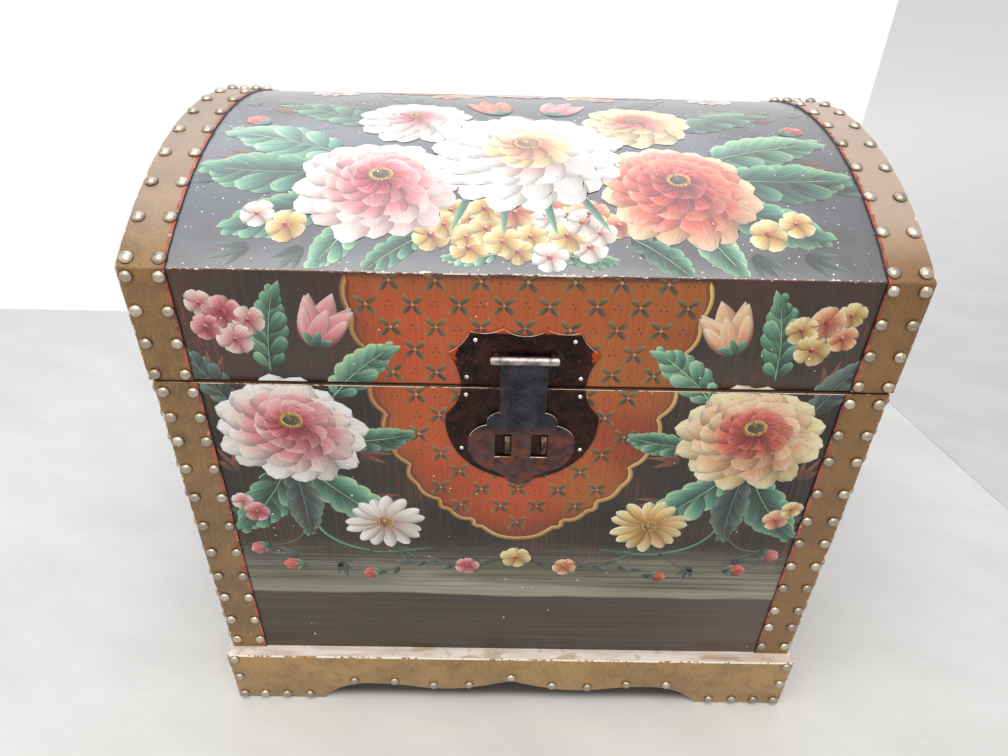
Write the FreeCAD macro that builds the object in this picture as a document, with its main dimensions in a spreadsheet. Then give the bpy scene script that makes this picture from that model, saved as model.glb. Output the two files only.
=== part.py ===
"""Dome-topped dowry chest: a boarded body on a scalloped plinth, a hinged lid with a curved top,
studded leather bands over every corner, and a swinging hasp over two padlock staples.

Millimetres. X is the viewer's right, Y runs from the front to the back, Z is up.
The origin is on the floor under the middle of the body.
"""

import FreeCAD, Part
import math
import os

import Sketcher

Vector = FreeCAD.Vector

# Named sizes, by the piece that they belong to.
SIZES = {
    # Body
    "body_width": 430.0,
    "body_depth": 300.0,
    "body_height": 250.7,
    "body_wall": 9.0,
    "bottom_thick": 6.0,
    # Plinth
    "plinth_side_proud": 2.0,
    "plinth_height": 54.0,
    "plinth_proud": 10.0,
    "plinth_board": 16.0,
    "plinth_side_board": 14.0,
    "corner_block_side": 26.0,
    # Lid
    "lid_overhang": 2.75,
    "lid_setback": 2.0,
    "lid_side_height": 72.1,
    "lid_wall": 9.0,
    "lid_gap": 0.9,
    "dome_rise": 40.0,
    "dome_ply": 5.0,
    # Leather bands
    "band_width": 26.5,
    "band_thick": 1.0,
    "lid_side_band_width": 22.0,
    # Studs with domed heads
    "stud_head": 7.5,
    "stud_head_height": 3.0,
    "stud_shank": 1.6,
    "stud_length": 5.0,
    "stud_edge": 5.4,
    "stud_rows_apart": 17.3,
    "stud_low_margin": 9.5,
    "stud_high_margin": 6.0,
    "lid_stud_margin": 4.4,
    "dome_stud_margin": 6.0,
    "plinth_stud_margin": 5.5,
    # Lock plates and their nails
    "lock_plate_thick": 1.2,
    "lid_plate_width": 87.4,
    "lid_plate_height": 39.5,
    "body_plate_width": 91.2,
    "body_plate_neck": 72.8,
    "body_plate_height": 70.6,
    "lock_nail_head": 2.8,
    "lock_nail_head_height": 0.9,
    "lock_nail_shank": 1.2,
    "lock_nail_length": 5.0,
    # Hasp, its pin and the two eyes that hold the pin
    "hasp_thick": 1.3,
    "hasp_float": 0.4,
    "hasp_strap_width": 27.4,
    "hasp_plate_width": 65.2,
    "hasp_pin_above_split": 22.5,
    "hasp_below_split": 73.5,
    "hasp_barrel": 5.4,
    "hasp_pin_diameter": 3.0,
    "hasp_pin_head": 4.4,
    "hasp_pin_head_thick": 0.8,
    "eye_length": 4.6,
    "eye_shank": 2.2,
    "eye_shank_depth": 6.0,
    "slot_width": 9.7,
    "slot_height": 17.8,
    "slot_spacing": 22.2,
    "slot_below_split": 41.6,
    # Padlock staples
    "staple_width": 3.0,
    "staple_strip": 1.3,
    "staple_height": 13.6,
    "staple_reach": 6.4,
    "staple_leg": 6.0,
    "staple_offset": 2.6,
    "staple_lift": 1.2,
    # Hinges
    "hinge_width": 44.0,
    "hinge_leaf_height": 22.0,
    "hinge_leaf_thick": 1.5,
    "hinge_knuckle": 6.0,
    "hinge_middle_knuckle": 15.0,
    "hinge_pin_diameter": 3.0,
    "hinge_standoff": 0.4,
    "hinge_spacing": 240.0,
    "screw_head": 5.2,
    "screw_head_height": 1.2,
    "screw_shank": 2.4,
    "screw_length": 7.5,
    "screw_spacing": 14.0,
    # Clearances
    "running_clearance": 0.05,
    "seated_clearance": 0.02,
    "knuckle_gap": 0.3,
    # Counts
    "body_stud_count": 11.0,
    "lid_stud_count": 4.0,
    "dome_stud_count": 12.0,
    "lid_end_stud_count": 13.0,
    "hinge_screw_count": 3.0,
}

# Right half of the plinth's lower edge, from the middle notch out to the foot. Each row is the share
# of the half width, the share of the height, and the share of the height by which the edge to the
# next corner bows down (or up, when negative).
PLINTH_EDGE_SHARES = (
    (0.0, 0.47, 0.01),
    (0.166, 0.28, 0.037),
    (0.36, 0.315, -0.013),
    (0.493, 0.365, -0.115),
    (0.684, 0.0, 0.0),
)
# Studs along the plinth's lower edge: share of the half width, and share of the height of the edge there.
PLINTH_STUD_SHARES = (
    (0.0, 0.47),
    (0.15, 0.285),
    (0.28, 0.26),
    (0.42, 0.345),
    (0.565, 0.345),
    (0.735, 0.0),
    (0.82, 0.0),
    (0.9, 0.0),
)
# Studs up the plinth's end edges, as shares of the height.
PLINTH_END_STUD_SHARES = (0.1, 0.52, 0.93)

# The studs were driven by eye. Shares of the pitch by which each row of the body lies above its even place.
LEFT_DRIFT_SHARES = (0.0, 0.0, 0.1, 0.08, 0.14, 0.25, 0.37, 0.44, 0.4, 0.2, 0.0)
RIGHT_DRIFT_SHARES = (0.0, 0.0, -0.16, -0.08, -0.08, -0.09, -0.18, -0.11, 0.07, -0.02, 0.0)

# Right half of the lid's lock plate, up from its lower corner: shares of the half width and of the
# height, and the share of the height by which the next edge bows out (or in, when negative).
LID_PLATE_SHARES = (
    (0.833, 0.0, -0.04),
    (1.0, 0.585, -0.048),
    (0.71, 0.955, -0.058),
    (0.281, 1.0, -0.122),
)
LID_PLATE_NAIL_SHARES = ((0.64, 0.8), (0.755, 0.155))
# Nails of the body's lock plate: shares of the half width, and of the depth below the split.
BODY_PLATE_NAIL_SHARES = ((0.732, 0.06), (0.797, 0.64))
# The body's plate widens from its neck to a round end. Shares of the height, below the split.
BODY_PLATE_SHOULDER_SHARE = 0.27
BODY_PLATE_NECK_BOW_SHARE = 0.03

# Right half of the hasp's plate, from its tip up to the strap: shares of the plate's half width and of
# the drop below the split, and the share of the drop by which the next edge bows out.
HASP_TIP_SHARES = (
    (0.0, 1.0, 0.028),
    (0.29, 0.915, -0.012),
    (0.66, 0.825, 0.046),
    (1.0, 0.55, 0.05),
    (0.655, 0.345, 0.036),
)
HASP_SHOULDER_SHARE = 0.212

# How far back a staple's round nose begins, as a share of its reach.
STAPLE_NOSE_SHARE = 0.7
# Height of the screws on a hinge leaf, as a share of the leaf's height.
SCREW_HEIGHT_SHARE = 0.62

WORD = "Sizes."


class Length:
    """A length worked out from the named sizes: its number, and the expression that keeps it so."""

    def __init__(self, number, text):
        self.number = number
        self.text = text

    def __float__(self):
        return float(self.number)

    def __add__(self, other):
        other = length(other)
        return Length(self.number + other.number, "(" + self.text + " + " + other.text + ")")

    def __sub__(self, other):
        other = length(other)
        return Length(self.number - other.number, "(" + self.text + " - " + other.text + ")")

    def __mul__(self, other):
        other = length(other)
        return Length(self.number * other.number, self.text + " * " + other.text)

    def __truediv__(self, other):
        other = length(other)
        return Length(self.number / other.number, "(" + self.text + ") / (" + other.text + ")")

    def __neg__(self):
        return Length(-self.number, "(0 - " + self.text + ")")

    __radd__ = __add__
    __rmul__ = __mul__


def length(value):
    """A plain number as a Length; a Length as it is."""
    if isinstance(value, Length):
        return value
    return Length(value, "(" + repr(value) + ")")


def root(value):
    """The square root of a Length."""
    return Length(math.sqrt(value.number), "sqrt(" + value.text + ")")


class Sizes:
    """The sheet's named sizes, each read as an attribute."""

    def __init__(self, sheet):
        self.sheet = sheet

    def __getattr__(self, name):
        return Length(float(self.sheet.get(name)), WORD + name)


doc = FreeCAD.newDocument("DowryChest")
sheet = doc.addObject("Spreadsheet::Sheet", "Sizes")
for line, (alias, value) in enumerate(SIZES.items(), start=1):
    sheet.set("A%d" % line, alias)
    sheet.set("B%d" % line, str(value))
    sheet.setAlias("B%d" % line, alias)
doc.recompute()
s = Sizes(sheet)
ZERO = length(0)

# Places that several pieces share.
half_body = s.body_width / 2
half_wood = half_body - s.band_thick
body_front = -s.body_depth / 2
body_back = s.body_depth / 2
split = s.plinth_height + s.body_height
half_lid = half_body + s.lid_overhang
half_lid_wood = half_lid - s.band_thick
lid_front = body_front + s.lid_setback
lid_bottom = split + s.lid_gap
ridge = lid_bottom + s.lid_side_height
half_chord = (body_back - lid_front) / 2
dome_middle = (body_back + lid_front) / 2
dome_radius = (half_chord * half_chord + s.dome_rise * s.dome_rise) / (s.dome_rise * 2)
dome_centre = ridge + s.dome_rise - dome_radius
inner_radius = dome_radius - s.dome_ply
half_plinth = half_body + s.plinth_side_proud
plinth_front = body_front - s.plinth_proud
plinth_back = body_back + s.plinth_proud
nodes = []


def point(x, y, z):
    """A vector from three lengths."""
    return Vector(float(x), float(y), float(z))


def arc_height(radius, y):
    """The height at y of a circle about the dome's centre line."""
    reach = y - dome_middle
    return dome_centre + root(radius * radius - reach * reach)


def origin_plane(body, role):
    """The body's own origin plane with that role."""
    return [plane for plane in body.Origin.OriginFeatures if plane.Role == role][0]


def pin_point(sketch, edge, end, x, y):
    """Hold one end of an edge at x and y from the sketch's origin."""
    for kind, place, bound in (("DistanceX", x.number, x), ("DistanceY", y.number, y)):
        at = sketch.addConstraint(Sketcher.Constraint(kind, -1, 1, edge, end, place))
        sketch.setExpression("Constraints[%d]" % at, bound.text)


def pin_radius(sketch, edge, radius):
    """Hold the radius of a circle or an arc."""
    at = sketch.addConstraint(Sketcher.Constraint("Radius", edge, radius.number))
    sketch.setExpression("Constraints[%d]" % at, radius.text)


def add_edge(sketch, start, finish):
    """Draw a line, or an arc when start has a bow, and tell which of its ends is the start."""
    x, y, bow = start
    first = Vector(x.number, y.number, 0)
    last = Vector(finish[0].number, finish[1].number, 0)
    if bow.number == 0:
        return sketch.addGeometry(Part.LineSegment(first, last), False), 1, 2
    way = last - first
    outward = Vector(way.y, -way.x, 0).normalize()
    crown = (first + last) * 0.5 + outward * bow.number
    ends = (first, crown, last) if bow.number > 0 else (last, crown, first)
    edge = sketch.addGeometry(Part.Arc(*ends), False)
    wide = finish[0] - x
    tall = finish[1] - y
    size = bow if bow.number > 0 else -bow
    pin_radius(sketch, edge, (wide * wide / 4 + tall * tall / 4 + size * size) / (size * 2))
    return (edge, 1, 2) if bow.number > 0 else (edge, 2, 1)


def draw_loop(sketch, corners):
    """Draw a closed loop of corners (x, y, bow of the next edge), turning left, every corner held."""
    edges = []
    for corner, following in zip(corners, corners[1:] + corners[:1]):
        edges.append(add_edge(sketch, corner, following))
    for (edge, start, _), (before, _, finish) in zip(edges, edges[-1:] + edges[:-1]):
        sketch.addConstraint(Sketcher.Constraint("Coincident", before, finish, edge, start))
    for (edge, start, _), corner in zip(edges, corners):
        pin_point(sketch, edge, start, corner[0], corner[1])


def straight(*places):
    """Corners with straight edges between them."""
    return [(length(x), length(y), ZERO) for x, y in places]


def rectangle(x, y, wide, tall):
    """A rectangle's corners, from its lower left one."""
    return straight((x, y), (x + wide, y), (x + wide, y + tall), (x, y + tall))


def mirrored(half):
    """A whole outline from its right half, given upwards; a corner with x at zero isn't repeated."""
    whole = list(half)
    for here in range(len(half) - 1, -1, -1):
        x, y, _ = half[here]
        bow = half[here - 1][2] if here else ZERO
        if x.number == 0 and here:
            whole[-1] = (x, y, bow)
        elif x.number != 0:
            whole.append((-x, y, bow))
    return whole


def start_body(name, x, y, z):
    """An empty body under the node's name, at its place."""
    body = doc.addObject("PartDesign::Body", name)
    body.Label = name
    for axis, place in (("x", x), ("y", y), ("z", z)):
        body.setExpression("Placement.Base." + axis, length(place).text)
    nodes.append(body)
    return body


def draw(body, plane, loops, holes=()):
    """A sketch of closed loops and round holes (x, y, diameter) on one of the body's origin planes."""
    sketch = body.newObject("Sketcher::SketchObject", body.Name + "_outline")
    sketch.AttachmentSupport = (origin_plane(body, plane), [""])
    sketch.MapMode = "FlatFace"
    for corners in loops:
        draw_loop(sketch, corners)
    for x, y, diameter in holes:
        radius = diameter / 2
        circle = Part.Circle(Vector(x.number, y.number, 0), Vector(0, 0, 1), radius.number)
        edge = sketch.addGeometry(circle, False)
        pin_point(sketch, edge, 3, x, y)
        pin_radius(sketch, edge, radius)
    return sketch


def pad(body, sketch, depth, reverse=False, middle=False):
    """Thicken a sketch into the body."""
    feature = body.newObject("PartDesign::Pad", body.Name + "_pad")
    feature.Profile = sketch
    feature.setExpression("Length", depth.text)
    feature.Reversed = reverse
    feature.Midplane = middle
    body.Tip = feature
    sketch.Visibility = False
    return feature


def pocket(body, sketch, depth):
    """Cut a sketch out of the body, by depth over both sides of its plane."""
    feature = body.newObject("PartDesign::Pocket", body.Name + "_pocket")
    feature.Profile = sketch
    feature.setExpression("Length", depth.text)
    feature.Midplane = True
    body.Tip = feature
    sketch.Visibility = False
    return feature


def board(name, plane, corners, depth, place, holes=(), reverse=False):
    """A flat piece of one thickness."""
    body = start_body(name, *place)
    pad(body, draw(body, plane, [corners], holes), depth, reverse)
    return body


def group(name, solids):
    """A node of one or more separate solids that are worked out from the sizes."""
    feature = doc.addObject("Part::Feature", name)
    feature.Shape = Part.makeCompound(solids) if len(solids) > 1 else solids[0]
    feature.Label = name
    nodes.append(feature)
    return feature


def turned(profile):
    """A solid turned about Z from a closed profile of edges in the XZ plane."""
    face = Part.Face(Part.Wire(profile))
    return face.revolve(Vector(0, 0, 0), Vector(0, 0, 1), 360)


def nail(head, head_height, shank, long):
    """A dome-headed nail with its seat on XY, its head up and its point down."""
    rim = float(head) / 2
    crown = float(head_height)
    stem = float(shank) / 2
    tip = -float(long)
    ball = (rim * rim + crown * crown) / (2 * crown)
    lean = math.asin(rim / ball) / 2
    on_dome = Vector(ball * math.sin(lean), 0, crown - ball + ball * math.cos(lean))
    path = [Vector(rim, 0, 0), Vector(stem, 0, 0), Vector(stem, 0, tip + 2 * stem), Vector(0, 0, tip)]
    path.append(Vector(0, 0, crown))
    edges = [Part.Arc(path[-1], on_dome, path[0]).toShape()]
    for first, last in zip(path, path[1:]):
        edges.append(Part.LineSegment(first, last).toShape())
    return turned(edges)


def driven(pattern, seat, outward):
    """A copy of a nail or screw, seated at a point with its head towards outward."""
    copy = pattern.copy()
    copy.Placement = FreeCAD.Placement(seat, FreeCAD.Rotation(Vector(0, 0, 1), outward))
    return copy


def scalloped(half_length):
    """A plinth board's outline: feet at both ends, and an edge that rises to a pointed notch between."""
    half = []
    for along, up, bow in PLINTH_EDGE_SHARES:
        half.append((half_length * along, s.plinth_height * up, s.plinth_height * bow))
    half[0] = (ZERO, half[0][1], half[0][2])
    half.append((half_length, ZERO, ZERO))
    half.append((half_length, s.plinth_height, ZERO))
    return mirrored(half)


def make_plinth():
    """Four scalloped boards, with a glue block in each corner."""
    front_back = scalloped(half_plinth)
    board("plinth_front", "XZ_Plane", front_back, s.plinth_board, (ZERO, plinth_front + s.plinth_board, ZERO))
    board("plinth_back", "XZ_Plane", front_back, s.plinth_board, (ZERO, plinth_back, ZERO))
    sides = scalloped(plinth_back - s.plinth_board)
    board("plinth_left", "YZ_Plane", sides, s.plinth_side_board, (-half_plinth, ZERO, ZERO))
    inside = half_plinth - s.plinth_side_board
    board("plinth_right", "YZ_Plane", sides, s.plinth_side_board, (inside, ZERO, ZERO))
    blocks = []
    leg = float(s.corner_block_side)
    for across in (-1, 1):
        for along in (-1, 1):
            corner = point(inside * across, (plinth_back - s.plinth_board) * along, ZERO)
            ends = [corner, corner - Vector(leg * across, 0, 0), corner - Vector(0, leg * along, 0), corner]
            face = Part.Face(Part.makePolygon(ends))
            blocks.append(face.extrude(Vector(0, 0, float(s.plinth_height))))
    group("plinth_corner_blocks", blocks)


def make_body():
    """Front and back boards between which the two ends stand, and the bottom inside them."""
    wide = half_wood * 2
    inner_depth = s.body_depth - s.body_wall * 2
    face = rectangle(-half_wood, ZERO, wide, s.body_height)
    end = rectangle(-inner_depth / 2, ZERO, inner_depth, s.body_height)
    base = s.plinth_height
    board("body_front_board", "XZ_Plane", face, s.body_wall, (ZERO, body_front + s.body_wall, base))
    board("body_back_board", "XZ_Plane", face, s.body_wall, (ZERO, body_back, base))
    board("body_left_end", "YZ_Plane", end, s.body_wall, (-half_wood, ZERO, base))
    board("body_right_end", "YZ_Plane", end, s.body_wall, (half_wood - s.body_wall, ZERO, base))
    inner_width = wide - s.body_wall * 2
    floor = rectangle(-inner_width / 2, -inner_depth / 2, inner_width, inner_depth)
    board("body_bottom", "XY_Plane", floor, s.bottom_thick, (ZERO, ZERO, base))


def make_body_bands():
    """A folded leather band over each upright corner of the body."""
    outer = body_back + s.band_thick
    for side, across in (("left", -1), ("right", 1)):
        for face, along in (("front", -1), ("back", 1)):
            corners = straight(
                (half_body * across, outer * along),
                ((half_body - s.band_width) * across, outer * along),
                ((half_body - s.band_width) * across, body_back * along),
                (half_wood * across, body_back * along),
                (half_wood * across, (outer - s.band_width) * along),
                (half_body * across, (outer - s.band_width) * along),
            )
            name = "body_band_" + face + "_" + side
            board(name, "XY_Plane", corners, s.body_height, (ZERO, ZERO, s.plinth_height))


def make_body_studs():
    """Two rows of studs on each face of each corner band of the body."""
    stud = nail(s.stud_head, s.stud_head_height, s.stud_shank, s.stud_length)
    count = int(float(s.body_stud_count))
    pitch = (s.body_height - s.stud_low_margin - s.stud_high_margin) / (count - 1)
    outer = body_back + s.band_thick
    for side, across, drifts in (("left", -1, LEFT_DRIFT_SHARES), ("right", 1, RIGHT_DRIFT_SHARES)):
        for face, along in (("front", -1), ("back", 1)):
            solids = []
            for number in range(count):
                drift = drifts[number % len(drifts)]
                up = s.plinth_height + s.stud_low_margin + pitch * (number + drift)
                for inset in (s.stud_edge, s.stud_edge + s.stud_rows_apart):
                    seat = point((half_body - inset) * across, outer * along, up)
                    solids.append(driven(stud, seat, Vector(0, along, 0)))
                    seat = point(half_body * across, (outer - inset) * along, up)
                    solids.append(driven(stud, seat, Vector(across, 0, 0)))
            group("body_studs_" + face + "_" + side, solids)


def plinth_stud_row(half_length):
    """The studs over one board's lower edge, as distances from its middle and heights."""
    row = []
    for out, up in PLINTH_STUD_SHARES:
        height = s.plinth_height * up + s.plinth_stud_margin
        row.append((half_length * out, height))
        if out:
            row.append((-half_length * out, height))
    return row


def make_plinth_studs():
    """One row of studs over each plinth board's lower edge, and up the ends of the front and the back."""
    stud = nail(s.stud_head, s.stud_head_height, s.stud_shank, s.stud_length)
    for face, along in (("front", -1), ("back", 1)):
        row = plinth_stud_row(half_plinth)
        for up in PLINTH_END_STUD_SHARES:
            for across in (-1, 1):
                row.append(((half_plinth - s.plinth_stud_margin) * across, s.plinth_height * up))
        way = Vector(0, along, 0)
        solids = [driven(stud, point(x, plinth_back * along, height), way) for x, height in row]
        group("plinth_studs_" + face, solids)
    for side, across in (("left", -1), ("right", 1)):
        row = plinth_stud_row(plinth_back - s.plinth_board)
        way = Vector(across, 0, 0)
        solids = [driven(stud, point(half_plinth * across, y, height), way) for y, height in row]
        group("plinth_studs_" + side, solids)


def lid_section(y_first, y_last, low, radius):
    """An upright section of the lid between two depths, under a circle about the dome's centre."""
    first_top = arc_height(radius, y_first)
    last_top = arc_height(radius, y_last)
    reach = (y_last - y_first) / 2
    rise = radius - root(radius * radius - reach * reach)
    if abs(first_top.number - last_top.number) > float(s.seated_clearance):
        rise = chord_bow(y_last - y_first, last_top - first_top, radius)
    return [
        (y_first, low, ZERO),
        (y_last, low, ZERO),
        (y_last, last_top, rise),
        (y_first, first_top, ZERO),
    ]


def chord_bow(wide, tall, radius):
    """How far an arc of that radius bows from its chord."""
    return radius - root(radius * radius - (wide * wide + tall * tall) / 4)


def make_lid():
    """Front and back boards, two domed ends between them and the curved top over all four."""
    wide = half_lid_wood * 2
    left = -half_lid_wood
    front = lid_section(lid_front, lid_front + s.lid_wall, lid_bottom, inner_radius)
    back = lid_section(body_back - s.lid_wall, body_back, lid_bottom, inner_radius)
    end = lid_section(lid_front + s.lid_wall, body_back - s.lid_wall, lid_bottom, inner_radius)
    board("lid_front_board", "YZ_Plane", front, wide, (left, ZERO, ZERO))
    board("lid_back_board", "YZ_Plane", back, wide, (left, ZERO, ZERO))
    board("lid_left_end", "YZ_Plane", end, s.lid_wall, (left, ZERO, ZERO))
    board("lid_right_end", "YZ_Plane", end, s.lid_wall, (half_lid_wood - s.lid_wall, ZERO, ZERO))
    under = arc_height(inner_radius, body_back)
    under_bow = chord_bow(half_chord * 2, ZERO, inner_radius)
    top = [
        (lid_front, under, -under_bow),
        (body_back, under, ZERO),
        (body_back, ridge, s.dome_rise),
        (lid_front, ridge, ZERO),
    ]
    board("lid_dome_panel", "YZ_Plane", top, wide, (left, ZERO, ZERO))


def arch(inset, thick):
    """The outline of a strip that stands up the lid's front, bends over the dome and comes down the back.

    It lies from thick outside the wood to inset inside it.
    """
    first = lid_front - thick
    last = body_back + thick
    outer = dome_radius + thick
    outer_top = arc_height(outer, last)
    outer_bow = chord_bow(last - first, ZERO, outer)
    inner = dome_radius - inset
    inner_first = lid_front + inset
    inner_last = body_back - inset
    inner_top = arc_height(inner, inner_last)
    inner_bow = chord_bow(inner_last - inner_first, ZERO, inner)
    return [
        (first, lid_bottom, ZERO),
        (inner_first, lid_bottom, ZERO),
        (inner_first, inner_top, -inner_bow),
        (inner_last, inner_top, ZERO),
        (inner_last, lid_bottom, ZERO),
        (last, lid_bottom, ZERO),
        (last, outer_top, outer_bow),
        (first, outer_top, ZERO),
    ]


def make_lid_bands():
    """A leather band over each side of the lid, folded down over the rim of its domed end."""
    for side, across in (("left", -1), ("right", 1)):
        body = start_body("lid_band_" + side, half_lid * across, ZERO, ZERO)
        inwards = across > 0
        pad(body, draw(body, "YZ_Plane", [arch(ZERO, s.band_thick)]), s.band_width, inwards)
        rim = draw(body, "YZ_Plane", [arch(s.lid_side_band_width, s.band_thick)])
        pad(body, rim, s.band_thick, inwards)


def on_dome(x, along, radius):
    """A point at a distance along the dome's face from its front edge, and the way out from there."""
    lean = math.asin(half_chord.number / dome_radius.number) - float(along) / dome_radius.number
    out = Vector(0, -math.sin(lean), math.cos(lean))
    return point(x, dome_middle, dome_centre) + out * float(radius), out


def make_lid_studs():
    """Two rows of studs along each band of the lid, and one row round each domed end."""
    stud = nail(s.stud_head, s.stud_head_height, s.stud_shank, s.stud_length)
    upright = int(float(s.lid_stud_count))
    rise = (s.lid_side_height - s.lid_stud_margin * 2) / (upright - 1)
    over = int(float(s.dome_stud_count))
    arc_long = 2 * dome_radius.number * math.asin(half_chord.number / dome_radius.number)
    pitch = (arc_long - 2 * float(s.dome_stud_margin)) / (over - 1)
    round_end = int(float(s.lid_end_stud_count))
    end_radius = dome_radius - s.lid_side_band_width / 2
    for side, across in (("left", -1), ("right", 1)):
        walls = []
        crown = []
        ends = []
        for inset in (s.stud_edge, s.stud_edge + s.stud_rows_apart):
            x = (half_lid - inset) * across
            for number in range(upright):
                up = lid_bottom + s.lid_stud_margin + rise * number
                walls.append(driven(stud, point(x, lid_front - s.band_thick, up), Vector(0, -1, 0)))
                walls.append(driven(stud, point(x, body_back + s.band_thick, up), Vector(0, 1, 0)))
            for number in range(over):
                along = float(s.dome_stud_margin) + pitch * number
                seat, out = on_dome(x, along, dome_radius + s.band_thick)
                crown.append(driven(stud, seat, out))
        for number in range(round_end):
            along = arc_long * (number + 1) / (round_end + 1)
            seat, _ = on_dome(half_lid * across, along, end_radius)
            ends.append(driven(stud, seat, Vector(across, 0, 0)))
        for number in range(upright - 1):
            up = lid_bottom + s.lid_stud_margin + rise * number
            for y in (lid_front + s.lid_side_band_width / 2, body_back - s.lid_side_band_width / 2):
                ends.append(driven(stud, point(half_lid * across, y, up), Vector(across, 0, 0)))
        group("lid_wall_studs_" + side, walls)
        group("lid_dome_studs_" + side, crown)
        group("lid_end_studs_" + side, ends)


def lock_nails(name, places, seat_y):
    """Small nails through a lock plate, with their heads to the front."""
    pattern = nail(s.lock_nail_head, s.lock_nail_head_height, s.lock_nail_shank, s.lock_nail_length)
    solids = []
    for x, z in places:
        for across in (-1, 1):
            solids.append(driven(pattern, point(x * across, seat_y, z), Vector(0, -1, 0)))
    group(name, solids)


def make_lock_plates():
    """A scalloped plate nailed to the lid and a round-ended one nailed to the body below it."""
    half_top = s.lid_plate_width / 2
    tall = s.lid_plate_height
    half = []
    for out, up, bow in LID_PLATE_SHARES:
        half.append((half_top * out, tall * up, tall * bow))
    board("lock_plate_lid", "XZ_Plane", mirrored(half), s.lock_plate_thick, (ZERO, lid_front, lid_bottom))
    places = [(half_top * out, lid_bottom + tall * up) for out, up in LID_PLATE_NAIL_SHARES]
    lock_nails("lock_nails_lid", places, lid_front - s.lock_plate_thick)

    half_low = s.body_plate_width / 2
    deep = s.body_plate_height
    shoulder = -deep * BODY_PLATE_SHOULDER_SHARE
    neck = s.body_plate_neck / 2
    down = deep + shoulder
    round_end = half_low
    bow = chord_bow(half_low, down, round_end)
    half = [
        (ZERO, -deep, bow),
        (half_low, shoulder, -deep * BODY_PLATE_NECK_BOW_SHARE),
        (neck, ZERO, ZERO),
    ]
    board("lock_plate_body", "XZ_Plane", mirrored(half), s.lock_plate_thick, (ZERO, body_front, split))
    places = [(half_low * out, split - deep * down) for out, down in BODY_PLATE_NAIL_SHARES]
    lock_nails("lock_nails_body", places, body_front - s.lock_plate_thick)


body_plate_face = body_front - s.lock_plate_thick
hasp_back = body_plate_face - s.hasp_float
hasp_axis_y = hasp_back - s.hasp_barrel / 2
hasp_axis_z = split + s.hasp_pin_above_split
slot_middle = split - s.slot_below_split


def make_hasp():
    """The hasp: a strap rolled into a barrel above, with a lobed plate and two slots below."""
    half_strap = s.hasp_strap_width / 2
    half_plate = s.hasp_plate_width / 2
    drop = s.hasp_below_split
    half = []
    for out, down, bow in HASP_TIP_SHARES:
        half.append((half_plate * out, -drop * down, drop * bow))
    half[0] = (ZERO, half[0][1], half[0][2])
    half.append((half_strap, -drop * HASP_SHOULDER_SHARE, ZERO))
    half.append((half_strap, s.hasp_pin_above_split, ZERO))
    slots = []
    for across in (-1, 1):
        left = s.slot_spacing / 2 * across - s.slot_width / 2
        low = -s.slot_below_split - s.slot_height / 2
        slots.append(rectangle(left, low, s.slot_width, s.slot_height))
    body = start_body("hasp", ZERO, hasp_back, split)
    pad(body, draw(body, "XZ_Plane", [mirrored(half)] + slots), s.hasp_thick)
    barrel_y = hasp_axis_y - hasp_back
    barrel = draw(body, "YZ_Plane", [], [(barrel_y, s.hasp_pin_above_split, s.hasp_barrel)])
    pad(body, barrel, s.hasp_strap_width, middle=True)
    bore = s.hasp_pin_diameter + s.running_clearance * 2
    drilled = draw(body, "YZ_Plane", [], [(barrel_y, s.hasp_pin_above_split, bore)])
    pocket(body, drilled, s.hasp_strap_width * 2)


def make_hasp_pin():
    """The pin through the hasp's barrel, and the two spiked eyes in the lid that hold its ends."""
    turn = FreeCAD.Rotation(Vector(0, 0, 1), Vector(1, 0, 0))
    half_strap = s.hasp_strap_width / 2
    eye_start = half_strap + s.knuckle_gap
    half_pin = eye_start + s.eye_length
    radius = float(s.hasp_pin_diameter) / 2
    head = float(s.hasp_pin_head) / 2
    thick = float(s.hasp_pin_head_thick)
    axis = point(ZERO, hasp_axis_y, hasp_axis_z)
    reach = float(half_pin)
    pin = Part.makeCylinder(radius, 2 * reach, axis - Vector(reach, 0, 0), Vector(1, 0, 0))
    for across in (-1, 1):
        foot = axis + Vector(reach * across, 0, 0)
        pin = pin.fuse(Part.makeCylinder(head, thick, foot, Vector(across, 0, 0)))
    group("hasp_pin", [pin.removeSplitter()])

    eyes = []
    bore = radius + float(s.seated_clearance)
    spike_y = lid_front + s.eye_shank_depth
    deep = float(spike_y - hasp_axis_y)
    wide = float(s.eye_shank)
    long = float(s.eye_length)
    for across in (-1, 1):
        start = axis + Vector(float(eye_start) * across, 0, 0)
        way = Vector(across, 0, 0)
        ring = Part.makeCylinder(float(s.hasp_barrel) / 2, long, start, way)
        middle = start.x + long / 2 * across
        corner = Vector(middle - wide / 2, axis.y, axis.z - wide / 2)
        ring = ring.fuse(Part.makeBox(wide, deep, wide, corner))
        eyes.append(ring.cut(Part.makeCylinder(bore, long, start, way)).removeSplitter())
    group("hasp_eyes", eyes)


def make_staples():
    """Two iron loops that stand out of the body's lock plate, one through each slot of the hasp."""
    tall = s.staple_height
    reach = s.staple_reach
    strip = s.staple_strip
    middle = slot_middle + s.staple_lift
    front = body_plate_face - reach
    back = body_front + s.staple_leg
    wide = float(s.staple_width)
    solids = []
    for across in (-1, 1):
        x = s.slot_spacing / 2 * across + s.staple_offset - s.staple_width / 2
        outer = loop_face(x, front, reach, back, middle, tall)
        inner = loop_face(x, front + strip, reach - strip, back, middle, tall - strip * 2)
        solids.append(outer.cut(inner).extrude(Vector(wide, 0, 0)))
    group("hasp_staples", solids)


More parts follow.
